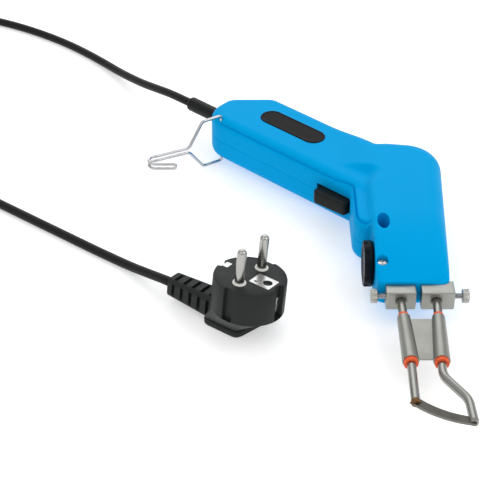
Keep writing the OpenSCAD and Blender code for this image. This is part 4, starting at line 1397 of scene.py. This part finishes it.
@dataclass
class HeatDial:
    """Fluted dial on the finger side of the head, turning about X."""

    radius: float = 12.0
    thickness: float = 4.8
    start_x: float = -20.9
    middle_y: float = -30.0
    flutes: int = 11
    flute_depth: float = 0.07
    fluted_rows: tuple[int, int] = (5, 7)

    def ripple(self, angle: Array, row: Array) -> Array:
        """Share of the radius: hollows between wide lands, on the rows towards the outer face only.

        Args:
            angle: angles round the dial.
            row: numbers of the profile's points.

        Returns:
            The share at each angle and row.
        """
        hollow = np.clip(1.4 * np.cos(self.flutes * angle) - 0.2, 0, 1)
        first, last = self.fluted_rows
        rim = ((row >= first) & (row <= last)).astype(float)
        return 1 - self.flute_depth * hollow * rim

    def build(self, shop: Workshop) -> None:
        """Dial with a dished face and a pale index line.

        Args:
            shop: makes and dresses the pieces.
        """
        r, t = self.radius, self.thickness
        profile = [(0, 0), (r - 1.4, 0), (r - 0.4, 0.2), (r, 0.8), (r, t - 2.2), (r, t - 1.9), (r, t - 0.6)]
        profile += [(r - 0.4, t - 0.1), (r - 1.2, t), (r - 2.4, t), (r - 2.9, t - 0.4), (0, t - 0.4)]
        axes = axes_along((-1, 0, 0))
        place = (self.start_x, self.middle_y, JOINT_Z)
        dial = lathe(profile, 240, self.ripple).moved(place, axes)
        shop.piece("dial_wheel", dial, shop.finish.dial, "dial", "dial", ["heat_dial"], sharp=50.0)
        mark = slab(box_corners(-0.55, 0.55, r - 6.0, r - 3.2, 0.3), t - 0.45, t - 0.25, 0.08)
        shop.piece("dial_mark", mark.moved(place, axes), shop.finish.mark, "dial", "dial")


# Terminals


@dataclass
class Terminals:
    """Two blocks that stick out of the nose, each with a knurled clamp screw."""

    block_x: float = 8.8
    block_w: float = 15.0
    block_half_t: float = 5.3
    low_y: float = -61.0
    top_y: float = -51.0
    stem_top: float = -23.0
    stem_half: tuple[float, float] = (2.5, 2.0)
    stud_y: float = -56.5
    stud_r: float = 1.5
    stud_tip: float = 11.05
    thread_pitch: float = 0.5
    thread_depth: float = 0.26
    knob_x: float = 20.3
    knob_r: float = 3.6
    knob_t: float = 3.6
    right_extra: float = 1.725

    def extra(self, hand: Hand) -> float:
        """How much further out the right block and its knob reach."""
        return self.right_extra if hand is Hand.RIGHT else 0.0

    def block(self, shop: Workshop, hand: Hand) -> None:
        """A block with softened edges, its stem, and a countersunk mouth for the leg.

        Args:
            shop: makes and dresses the pieces.
            hand: the side of the blade line.
        """
        x, half = hand.value * self.block_x, self.block_w / 2
        corners = box_corners(x - half, x + half + self.extra(hand), self.low_y, self.top_y, 0.7)
        body = slab(corners, -self.block_half_t, self.block_half_t, 0.6)
        obj = shop.mesh_object(f"block_{hand.word}", body.lifted())
        stem_x, stem_z = self.stem_half
        corners = box_corners(x - stem_x, x + stem_x, self.top_y - 1, self.stem_top, 0.4)
        shop.boolean(obj, slab(corners, -stem_z, stem_z, 0.3).lifted(), "UNION")
        mouth = lathe([(3.1, -1), (3.1, 0), (2.3, 0.6), (2.3, 9.0)], 32)
        shop.boolean(obj, mouth.moved((x, self.low_y, JOINT_Z), axes_along((0, 1, 0))), "DIFFERENCE")
        shop.dress(obj, shop.finish.satin, "housing", "terminals", [f"terminal_block_{hand.word}"])

    def stud(self, shop: Workshop, hand: Hand) -> None:
        """Threaded stud: the radius follows a wave that climbs one pitch in each turn.

        Args:
            shop: makes and dresses the pieces.
            hand: the side of the blade line.
        """
        pitch, length = self.thread_pitch, self.knob_x + self.extra(hand) + self.knob_t / 2 - self.stud_tip
        z = np.linspace(0, length, int(length / pitch * 8))
        a = np.linspace(0, 2 * np.pi, 28, endpoint=False)
        wave = np.abs(((z[:, None] / pitch - a[None] / (2 * np.pi)) % 1.0) * 2 - 1)
        radius = self.stud_r - self.thread_depth * wave
        height = np.repeat(z[:, None], len(a), axis=1)
        rows = np.stack([radius * np.cos(a), radius * np.sin(a), height], axis=-1)
        place = (hand.value * self.stud_tip, self.stud_y, JOINT_Z)
        stud = grid(rows).moved(place, axes_along((hand.value, 0, 0)))
        name = f"stud_{hand.word}"
        shop.piece(name, stud, shop.finish.zinc, name, "fasteners", [f"clamp_{name}"])

    def knob(self, shop: Workshop, hand: Hand) -> None:
        """Knurled round head with a domed end.

        Args:
            shop: makes and dresses the pieces.
            hand: the side of the blade line.
        """
        r, t = self.knob_r, self.knob_t
        profile = [(0, 0), (r - 0.5, 0), (r, 0.35), (r, t - 0.5), (r - 0.45, t - 0.1), (r - 1.2, t), (0, t)]

        def knurl(angle: Array, row: Array) -> Array:
            """Share of the radius: fine ridges on the rim."""
            ridges, depth = 26, 0.06
            return 1 - depth * (0.5 + 0.5 * np.cos(ridges * angle)) * ((row >= 2) & (row <= 3))

        place = (hand.value * (self.knob_x + self.extra(hand)), self.stud_y, JOINT_Z)
        knob = lathe(profile, 208, knurl).moved(place, axes_along((hand.value, 0, 0)))
        name = f"knob_{hand.word}"
        shop.piece(name, knob, shop.finish.nickel, name, "terminals", [f"clamp_{name}"], sharp=50.0)

    def build(self, shop: Workshop) -> None:
        """Both sides.

        Args:
            shop: makes and dresses the pieces.
        """
        for hand in Hand:
            self.block(shop, hand)
            self.stud(shop, hand)
            self.knob(shop, hand)


# Blade set


@dataclass
class BladeSet:
    """Bent blade on two plated legs, which pass through orange sleeves in a folded steel link."""

    leg_r: float = 2.2
    left: Line = ((-8.8, -52.8), (-8.8, -66), (-8.15, -109.7), (-8.6, -134))
    right: Line = ((8.8, -52.8), (8.8, -66), (5.9, -115.5), (16.0, -131.5), (16.6, -147))
    sleeve_top: float = -71.5
    sleeve_low: float = -107.5
    sleeve_r: float = 3.1
    play: float = 0.05
    link_r: float = 3.7
    link_inset: float = 2.0
    sheet_half: float = 0.4
    flare: float = 0.4
    blade_w: float = 5.3
    blade_t: float = 0.8
    bevel_w: float = 0.9
    edge_t: float = 0.16
    bow: float = 2.6
    foot_in: float = 1.5

    def leg(self, points: Sequence[Sequence[float]]) -> Surface:
        """A rod with bent corners and a rounded end.

        Args:
            points: ends and corners of the rod.

        Returns:
            The closed rod.
        """
        path = rounded_path([(x, y, JOINT_Z) for x, y in points], 3.6, 1.0)
        radius = np.full(len(path), self.leg_r)
        radius[0] = radius[-1] = self.leg_r * 0.82
        return sweep(path, radius, 28, (0, 0, 1))

    def on_leg(self, leg: Sequence[Sequence[float]], y: float) -> Array:
        """Point on a leg's sleeved run at a given Y."""
        p, q = np.array(leg[1], float), np.array(leg[2], float)
        return np.append(p + (q - p) * (y - p[1]) / (q[1] - p[1]), JOINT_Z)

    def tube(self, leg: Sequence[Sequence[float]], inset: float, outer: float, inner: float) -> Surface:
        """A round tube with softened lips on a leg's sleeved run, wider towards the blade.

        Args:
            leg: ends and corners of the leg.
            inset: distance in from the sleeve's ends.
            outer: outer radius, at the middle.
            inner: radius of the bore, at the middle.

        Returns:
            The tube.
        """
        top, low = self.on_leg(leg, self.sleeve_top - inset), self.on_leg(leg, self.sleeve_low + inset)
        length = float(np.linalg.norm(low - top))
        e = min(0.15, (outer - inner) / 3)
        tight, wide = outer - self.flare, outer + self.flare
        bores = (inner, inner) if inner < self.sleeve_r else (inner - self.flare, inner + self.flare)
        profile = [(bores[0], 0), (tight - e, 0), (tight, e)]
        profile += [(wide, length - e), (wide - e, length), (bores[1], length)]
        return lathe(profile, 40, closed=True).moved(top, axes_along(low - top))

    def link(self, shop: Workshop) -> None:
        """Steel sheet that is folded round both sleeves, with a web between.

        Args:
            shop: makes and dresses the pieces.
        """
        bore = self.sleeve_r + self.play
        left, right = (self.tube(leg, self.link_inset, self.link_r, bore) for leg in (self.left, self.right))
        obj = shop.mesh_object("folded_link", left)
        inset = self.link_inset + 1.5
        top, low = self.sleeve_top - inset, self.sleeve_low + inset
        a, b = (self.on_leg(self.left, y) for y in (top, low))
        c, d = (self.on_leg(self.right, y) for y in (low, top))
        shift = np.array([self.sleeve_r + 0.25, 0, 0])
        corners = [(*p[:2], 0.3) for p in (a + shift, b + shift, c - shift, d - shift)]
        web = slab(corners, -self.sheet_half, self.sheet_half, 0.12).lifted()
        shop.boolean(obj, right + web, "UNION")
        shop.dress(obj, shop.finish.steel, "blade_set", "link", ["leg_link"])

    def blade(self) -> Surface:
        """Bowed strip: a bevelled section carried along an arc between the feet.

        Returns:
            The closed strip.
        """
        a = np.array(self.left[-1], float) + (0, self.foot_in)
        b = np.array(self.right[-1], float) + (0, self.foot_in)
        chord = np.linalg.norm(b - a) + 1.1 * self.leg_r
        r = (chord**2 / 4 + self.bow**2) / (2 * self.bow)
        half = math.asin(chord / 2 / r)
        angle = np.linspace(-half, half, 60)[:, None]
        w, t, thin = self.blade_w / 2, self.blade_t / 2, self.edge_t / 2
        shoulder = w - self.bevel_w
        section = np.array([(-w, t), (-w, -t), (shoulder, -t), (w, -thin), (w, thin), (shoulder, t)])
        radius = r + section[None, :, 0]
        x = radius * np.sin(angle)
        y = r - self.bow - radius * np.cos(angle)
        z = np.repeat(section[None, :, 1], len(angle), axis=0)
        along = np.append(unit(b - a), 0.0)
        axes = np.array([along, (-along[1], along[0], 0), (0, 0, 1)])
        return grid(np.stack([x, y, z], axis=-1)).moved((*((a + b) / 2), JOINT_Z), axes)

    def ground(self, strip: bpy.types.Object, finish: bpy.types.Material) -> None:
        """Gives the strip's bevels, whose faces lean, the finish of a ground edge.

        Args:
            strip: the blade's strip.
            finish: the edge's finish.
        """
        strip.data.materials.append(finish)
        count = len(strip.data.polygons)
        normal = np.empty(count * 3)
        strip.data.polygons.foreach_get("normal", normal)
        lean = np.abs(normal.reshape(-1, 3)[:, 2])
        bevel = (lean > 0.5) & (lean < 0.995)
        strip.data.polygons.foreach_set("material_index", bevel.astype(np.int32))

    def build(self, shop: Workshop) -> None:
        """Legs, sleeves, link, blade and the brazing at the left foot.

        Args:
            shop: makes and dresses the pieces.
        """
        finish, body = shop.finish, "blade_set"
        for word, points in (("left", self.left), ("right", self.right)):
            shop.piece(f"leg_{word}", self.leg(points), finish.leg, body, "legs", [f"blade_leg_{word}"])
        bore = self.leg_r + self.play
        left, right = (self.tube(leg, 0.0, self.sleeve_r, bore) for leg in (self.left, self.right))
        shop.piece("sleeves", left + right, finish.orange, body, "sleeves", ["insulating_sleeves"])
        self.link(shop)
        strip = shop.piece("blade_strip", self.blade(), finish.blade, body, "blade", ["blade"], sharp=15.0)
        self.ground(strip, finish.edge)
        foot, above = (np.array(self.left[k], float) for k in (-1, -2))
        r = self.leg_r
        profile = [(0, -0.6), (r * 0.9, -0.5), (r + 0.16, 0.2), (r + 0.16, 0.8), (r + 0.05, 1.6)]
        profile.append((r - 0.05, 2.0))
        bead = lathe(profile, 28).moved((*foot, JOINT_Z), axes_along((*unit(above - foot), 0)))
        shop.piece("brazing_left", bead, finish.braze, body, "blade")


# Hook


@dataclass
class Hook:
    """Hanging hook of one wire: both ends pivot in the tail, and its bend lies across the tip."""

    wire_r: float = 0.9
    reach: float = 37.0
    bend_r: float = 4.0
    shank_half: float = 1.45
    inner: float = 8.0
    outer: float = 15.2

    def build(self, shop: Workshop) -> None:
        """One wire from pivot to pivot, mirrored about the joint.

        Args:
            shop: makes and dresses the pieces.
        """
        s = self.reach
        knee, neck, heel = np.array([(-0.29, -0.17), (-0.5, -0.35), (-1.0, -0.58)]) * s
        tip = np.array([heel[0] + 0.31 * s, heel[1] - 2 * self.bend_r])
        a = np.linspace(np.pi / 2, 3 * np.pi / 2, 9)
        bend = heel + self.bend_r * np.stack([np.cos(a), np.sin(a) - 1], axis=-1)
        h = self.shank_half
        near = [(0, 0, self.inner), (0, 0, self.outer), (*knee, self.outer), (*neck, h)]
        near += [(*p, h) for p in bend] + [(*tip, h)]
        far = [(x, y, -z) for x, y, z in near[::-1]]
        path = rounded_path(near + far, 1.9, 0.7)
        wire = sweep(path, self.wire_r, 16, (0.4, -0.5, 0.77))
        wire = wire.moved((*from_handle(*HOOK_PIVOT), JOINT_Z))
        shop.piece("wire_hook", wire, shop.finish.zinc, "hook", "hook", ["hanging_hook"])


# Cord and plug


@dataclass
class Plug:
    """Angled plug that stands on its back, with its pins up and its cord out to one side."""

    place: tuple[float, float] = (-86.6, -63.6)
    turn: float = math.radians(144)
    tilt: float = math.radians(8)
    face_r: float = 18.5
    face_z: float = 34.0
    face_t: float = 18.0
    base: tuple[float, float] = (11.0, -7.2)
    base_l: float = 22.0
    base_w: float = 28.4
    base_t: float = 4.0
    base_slant: float = 7.5
    base_power: float = 9.0
    notch: tuple[float, float] = (3.0, 15.5)
    groove: tuple[float, float] = (2.5, 16.5)
    pin_r: float = 2.4
    pin_l: float = 19.0
    pin_pitch: float = 19.0
    relief_z: float = 9.0
    relief_l: float = 31.0
    relief_start: float = 15.5
    relief_ribs: int = 5
    relief_half: tuple[float, float] = (7.0, 5.4)
    slot_depth: float = 0.26

    def foot_axes(self) -> Array:
        """Rows of the frame of the plug's flat base: X along the cord."""
        c, s = math.cos(self.turn), math.sin(self.turn)
        return np.array([(c, s, 0), (-s, c, 0), (0, 0, 1)])

    def lean(self) -> Array:
        """Rows of the leaning plug's frame, seen from its base."""
        c, s = math.cos(self.tilt), math.sin(self.tilt)
        return np.array([(1, 0, 0), (0, c, s), (0, -s, c)])

    def axes(self) -> Array:
        """Rows of the leaning plug's frame: X along the cord."""
        return self.lean() @ self.foot_axes()

    def at(self, surface: Surface) -> Surface:
        """A surface of the plug's own leaning frame, put in its place. Heights are from the floor."""
        return surface.moved((*self.place, 0), self.axes())

    def exit(self) -> Array:
        """Where the cord leaves the relief."""
        local = np.array([self.relief_start + self.relief_l, 0, self.relief_z])
        return np.array([*self.place, 0]) + local @ self.axes()

    def body(self) -> Surface:
        """Loft from a flat base to the leaning round face, with notches and side grooves.

        The rings go up the base plate, then as shares of the way from its top to the round part, then up
        that. They are seen from the base.

        Returns:
            The closed body, in the frame of its base.
        """
        a = np.linspace(0, 2 * np.pi, 288, endpoint=False)
        c, s = np.cos(a), np.sin(a)
        power = self.base_power
        square = np.abs(2 * c / self.base_l) ** power + np.abs(2 * s / self.base_w) ** power
        square = square ** (-1 / power)
        low, top, thick = self.face_z - self.face_t, self.face_z, self.base_t

        def plate(size: float, z: float) -> Array:
            """Ring of the base plate, whose one corner is drawn out.

            Args:
                size: share of the base's size.
                z: height over the table.

            Returns:
                The ring's points.
            """
            x, y = size * square * c, size * square * s
            drawn = self.base_slant * (0.5 - x / self.base_l) * (0.5 - y / self.base_w)
            return np.stack([self.base[0] + x - drawn, self.base[1] + y, np.full(len(a), z)], axis=-1)

        def drum(size: float, z: float, notched: bool = True) -> Array:
            """Ring of the leaning round part.

            Args:
                size: share of the face's radius.
                z: height along the leaning axis.
                notched: whether notches and grooves are cut in.

            Returns:
                The ring's points.
            """
            r = np.full(len(a), size * self.face_r)
            if notched:
                for (half, reach), along, across in ((self.notch, c, s), (self.groove, s, c)):
                    flat = np.minimum(r, reach / np.maximum(np.abs(along), 0.5))
                    r = np.where(np.abs(r * across) < half, flat, r)
            return np.stack([r * c, r * s, np.full(len(a), z)], axis=-1) @ self.lean()

        steps = [(0.93, 0), (0.98, 0.25), (1.0, 1.0), (1.0, thick - 0.5), (0.985, thick - 0.2)]
        steps += [(0.95, thick), (0.95, thick + 0.5)]
        rings = [plate(*step) for step in steps]
        first, last = plate(0.98, thick + 0.7), drum(0.99, low, False)
        rings += [(1 - share) * first + share * last for share in (0.0, 0.25, 0.5, 0.75, 1.0)]
        rings.append(drum(1.0, low + 0.2, False))
        steps = [(1.0, low + 0.25), (1.0, low + 8), (1.0, top - 1.3), (0.985, top - 0.35), (0.955, top)]
        rings += [drum(*step) for step in steps + [(0.6, top)]]
        return grid(np.stack(rings))

    def relief(self) -> Surface:
        """Tapered block along the cord, with slots across each of its four sides.

        Returns:
            The closed block.
        """
        length, steps = self.relief_l, 2 * self.relief_ribs + 1
        marks = np.arange(steps)[:, None] + np.array([0.12, 0.18, 0.82, 0.88])
        z = np.concatenate([[0.0], marks.ravel() * length / steps, [length - 0.3, length]])
        wide, narrow = self.relief_half
        edge = wide + (narrow - wide) * z / length
        edge[-1] -= 0.5
        count = z / length * steps
        share = count % 1
        slotted = (np.floor(count) % 2 == 1) & (z < length - 0.5) & (share > 0.15) & (share < 0.85)

        def block(angle: Array, row: Array) -> Array:
            """Share of the radius: a rounded square, less the slots between its corners.

            Args:
                angle: angles round the cord.
                row: numbers of the profile's points.

            Returns:
                The share at each angle and row.
            """
            rounded = (np.abs(np.cos(angle)) ** 4 + np.abs(np.sin(angle)) ** 4) ** -0.25
            side = np.clip(6 * (np.abs(np.cos(2 * angle)) - 0.35), 0, 1)
            return rounded * (1 - self.slot_depth * side * np.concatenate([[False], slotted, [False]])[row])

        profile = [(0.01, 0.0), *zip(edge, z), (0.01, length)]
        return lathe(profile, 96, block).moved((self.relief_start, 0, self.relief_z), axes_along((1, 0, 0)))

    def pins(self) -> Surface:
        """Two round pins with domed tips, each on a thinner neck.

        Returns:
            Both pins, in place.
        """
        r, face, top = self.pin_r, self.face_z, self.face_z + self.pin_l
        a = np.linspace(0, np.radians(88), 10)
        neck, dome = 2.0, 2.0
        profile = [(0, face - 12), (neck, face - 12), (neck, face + 1), (r, face + 1)]
        profile += [(r * math.cos(v), top - dome + dome * math.sin(v)) for v in a]
        return self.at_pins(lathe(profile, 40))

    def at_pins(self, surface: Surface) -> Surface:
        """A surface repeated on the middle lines of both pins, put in its place."""
        half = self.pin_pitch / 2
        return self.at(surface.moved((0, half, 0)) + surface.moved((0, -half, 0)))

    def clips(self) -> Surface:
        """Earth clips in both notches, the one at the cord bent over the face.

        Returns:
            Both clips and the bent tab, in the plug's own frame.
        """
        top, half, out = self.face_z, 2.5, 15.95
        upright = np.array([(0, 1, 0), (0, 0, 1), (1, 0, 0)])
        clips = slab(box_corners(12.6, 15.9, -2.3, 2.3, 0.5), top - 0.1, top + 0.3, 0.12)
        for x, under in ((out, 0.2), (-out, 6.2)):
            strip = slab(box_corners(-half, half, top - 14.0, top - under, 0.6), -0.4, 0.4, 0.15)
            clips += strip.moved((x, 0, 0), upright)
        return clips

    def build(self, shop: Workshop) -> list[bpy.types.Object]:
        """Body, pins, collars, clips and earth contact.

        Args:
            shop: makes and dresses the pieces.

        Returns:
            The pieces, which are on the cord.
        """
        finish, body, top = shop.finish, "housing", self.face_z
        shell = shop.mesh_object("plug_shell", self.body().moved((*self.place, 0), self.foot_axes()))
        shop.boolean(shell, self.at(self.relief()), "UNION")
        pocket = slab(box_corners(-14.2, -2.2, -4.8, 4.8, 0.6), top - 0.8, top + 4, 0.1)
        shop.boolean(shell, self.at(pocket), "DIFFERENCE")
        shop.dress(shell, finish.plug, body, "plug", ["plug_body"])
        pins = shop.piece("pins", self.pins(), finish.nickel, body, "legs", ["plug_pins"])
        ring = [(2.05, 0), (3.4, 0), (3.4, 0.5), (3.2, 0.8), (2.9, 0.85), (2.65, 0.7), (2.05, 0.7)]
        collar = self.at_pins(lathe(ring, 40, closed=True).moved((0, 0, top)))
        collars = shop.piece("collars", collar, finish.nylon, body, "plunger", ["pin_collars"])
        clips = shop.piece("clips", self.at(self.clips()), finish.zinc, body, "contacts", ["earth_clips"])
        plate = slab(box_corners(-14.15, -2.25, -4.75, 4.75, 0.6), top - 0.75, top + 0.05, 0.15)
        contact = shop.mesh_object("earth_plate", self.at(plate))
        hole = lathe([(2.4, top - 3), (2.4, top + 3)], 32).moved((-10.4, 0, 0))
        hole += slab(box_corners(-5.6, -4.0, 2.2, 3.2, 0.4), top - 3, top + 3, 0.1)
        shop.boolean(contact, self.at(hole), "DIFFERENCE")
        shop.dress(contact, finish.zinc, body, "contacts", ["earth_contact"])
        return [shell, pins, collars, clips, contact]


@dataclass
class MainsLead:
    """Boot at the tail and the cord from it: a loop, a neat coil beside the tool, and a run to the plug."""

    cord_r: float = 2.5
    boot_r: float = 4.2
    boot_l: float = 27.0
    coil_middle: tuple[float, float] = (-281.0, 134.0)
    coil_r: float = 36.0
    coil_pitch: float = 6.1
    coil_rise: float = 6.1
    turn_in: float = 180.0
    turn_out: float = 232.0
    rounds: int = 6
    first_points: Line = (
        (-132, 141, 16.5), (-141, 152, 13.5), (-150, 164, 10), (-158.5, 176, 7), (-167, 188, 4.5),
        (-177, 201, 3), (-188, 213, 2.5), (-201, 225, 2.5), (-215, 236, 2.5), (-230, 246, 2.5),
        (-246, 255, 2.5), (-262, 262, 2.5), (-278, 266.5, 2.5), (-292, 266, 2.5), (-304, 260, 2.5),
        (-312, 249, 2.5), (-316, 236, 2.5), (-317, 222, 2.5), (-317, 208, 2.5), (-317, 194, 2.5),
        (-317, 180, 2.5), (-317, 166, 2.5), (-317, 152, 2.5),
    )
    last_points: Line = (
        (-291.5, 96.5, 8.6), (-283.5, 90, 7.6), (-273, 82, 5.2), (-262, 73.5, 3.2), (-250, 64, 2.5),
        (-236, 53.5, 2.5), (-221, 42, 2.5), (-203, 28.5, 2.5), (-185, 15, 2.5), (-167, 1.5, 2.5),
        (-149, -12, 3), (-138.5, -22, 5.8),
    )

    def exit(self) -> Array:
        """Where the cord leaves the boot."""
        return np.array([*from_handle(TAIL[0] - self.boot_l, TAIL[1]), JOINT_Z])

    def coil(self) -> Array:
        """Points of the coil: in at a steady rate, up a layer in half a turn, and out again.

        Returns:
            The points of the middle line.
        """
        total = 360.0 * self.rounds + self.turn_out - self.turn_in
        inward = (total - 180) / 2
        turned = np.linspace(0, total, int(total / 7.5) + 1)
        drawn = np.where(turned < inward, turned, np.where(turned > inward + 180, total - turned, inward))
        r = self.coil_r - self.coil_pitch * drawn / 360
        a = np.radians(self.turn_in + turned)
        z = self.cord_r + self.coil_rise * np.clip((turned - inward) / 180, 0, 1)
        x, y = self.coil_middle
        return np.stack([x + r * np.cos(a), y + r * np.sin(a), z], axis=-1)

    def route(self, plug: Plug) -> Array:
        """Middle line of the whole cord, from the boot to the plug.

        Args:
            plug: the plug that the cord ends in.

        Returns:
            The points of the line.
        """
        start, end, coil, straight = self.exit(), plug.exit(), self.coil(), 2 * self.cord_r
        a, b = math.radians(self.turn_in), math.radians(self.turn_out)
        first = coil[0] - straight * np.array([-math.sin(a), math.cos(a), 0])
        last = coil[-1] + straight * np.array([-math.sin(b), math.cos(b), 0])
        points = [start, start + straight * np.array(TAILWARDS), *self.first_points, first, *coil, last]
        points += [*self.last_points, end + straight * plug.axes()[0], end]
        return smooth_path(points, 3.0)

    def boot(self, shop: Workshop) -> None:
        """Smooth boot with a rounded end and a flange inside the tail.

        Args:
            shop: makes and dresses the pieces.
        """
        r, length, bore = self.boot_r, self.boot_l, self.cord_r + 0.05
        a = np.linspace(0, np.pi / 2, 8)
        rounded = [(r - 1.4 + 1.4 * math.cos(v), length - 1.6 + 1.6 * math.sin(v)) for v in a]
        profile = [(bore, -8), (6, -8), (6, -5), (r, -5)] + rounded + [(bore, length)]
        boot = lathe(profile, 40, closed=True)
        boot = boot.moved((*from_handle(*TAIL), JOINT_Z), axes_along(TAILWARDS))
        shop.piece("boot", boot, shop.finish.cord, "housing", "cord", ["cord_boot"])

    def tie(self, shop: Workshop) -> bpy.types.Object:
        """Flat band round the coil's strands on its right side: a thin strip along a rounded rectangle.

        Args:
            shop: makes and dresses the pieces.

        Returns:
            The tie.
        """
        thick, half = 0.4, 3.0
        points, outward = outline(np.array(box_corners(17.2, 36.0, 0.45, 11.5, 2.0)), OUTLINE_STEP)
        points = np.vstack([points, points[:1]])
        outward = np.vstack([outward, outward[:1]])
        far = points + thick * outward
        ring = [(points, -half), (points, half), (far, half), (far, -half)]
        lines = [np.stack([p[:, 0], np.full(len(p), w), p[:, 1]], axis=-1) for p, w in ring]
        surface = grid(np.stack(lines, axis=1), capped=False).moved((*self.coil_middle, 0))
        return shop.piece("coil_tie", surface, shop.finish.tie, "housing", "cord")

    def build(self, shop: Workshop, plug: Plug, pieces: Sequence[bpy.types.Object]) -> None:
        """Cord, tie and boot.

        Args:
            shop: makes and dresses the pieces.
            plug: the plug that the cord ends in.
            pieces: the plug's pieces; not used.
        """
        route = self.route(plug)
        cord = shop.mesh_object("cord", sweep(route, self.cord_r, 14, (0, 0, 1)))
        nodes = ["mains_cord", "cord_coil", "cord_tail"]
        shop.dress(cord, shop.finish.cord, "housing", "cord", nodes, sharp=60.0)
        tuple(self.exit() * MM)
        self.tie(shop)
        self.boot(shop)


def paint_inside(shop: Workshop) -> None:
    """Finishes of the CAD nodes that stay, most of them inside the housing.

    Args:
        shop: holds the frame and the finishes.
    """
    finish = shop.finish
    coats = {
        finish.zinc: ["trigger_pin", "trigger_spring", "regulator_shaft", "cord_clamp_screws"],
        finish.trigger: ["switch_body", "cord_clamp"],
        finish.nylon: ["switch_plunger", "coil_former"],
        finish.grey: ["regulator_body"],
        finish.core: ["transformer_core"],
        finish.copper: ["primary_winding", "secondary_strap"],
        finish.brown: ["terminal_carrier"],
        finish.live: ["live_lead", "switched_lead"],
        finish.neutral: ["neutral_lead"],
        finish.cord: ["cord_entry"],
    }
    for material, names in coats.items():
        shop.paint_nodes(names, material)


def main() -> None:
    """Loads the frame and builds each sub-assembly in order."""
    logging.basicConfig(level=logging.INFO, format="%(message)s")
    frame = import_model()
    shop = Workshop(frame)
    Studio().build(shop)
    plug = Plug()
    MainsLead().build(shop, plug, plug.build(shop))
    Housing().build(shop)
    Trigger().build(shop)
    HeatDial().build(shop)
    Terminals().build(shop)
    BladeSet().build(shop)
    Hook().build(shop)
    paint_inside(shop)


if __name__ == "__main__":
    main()
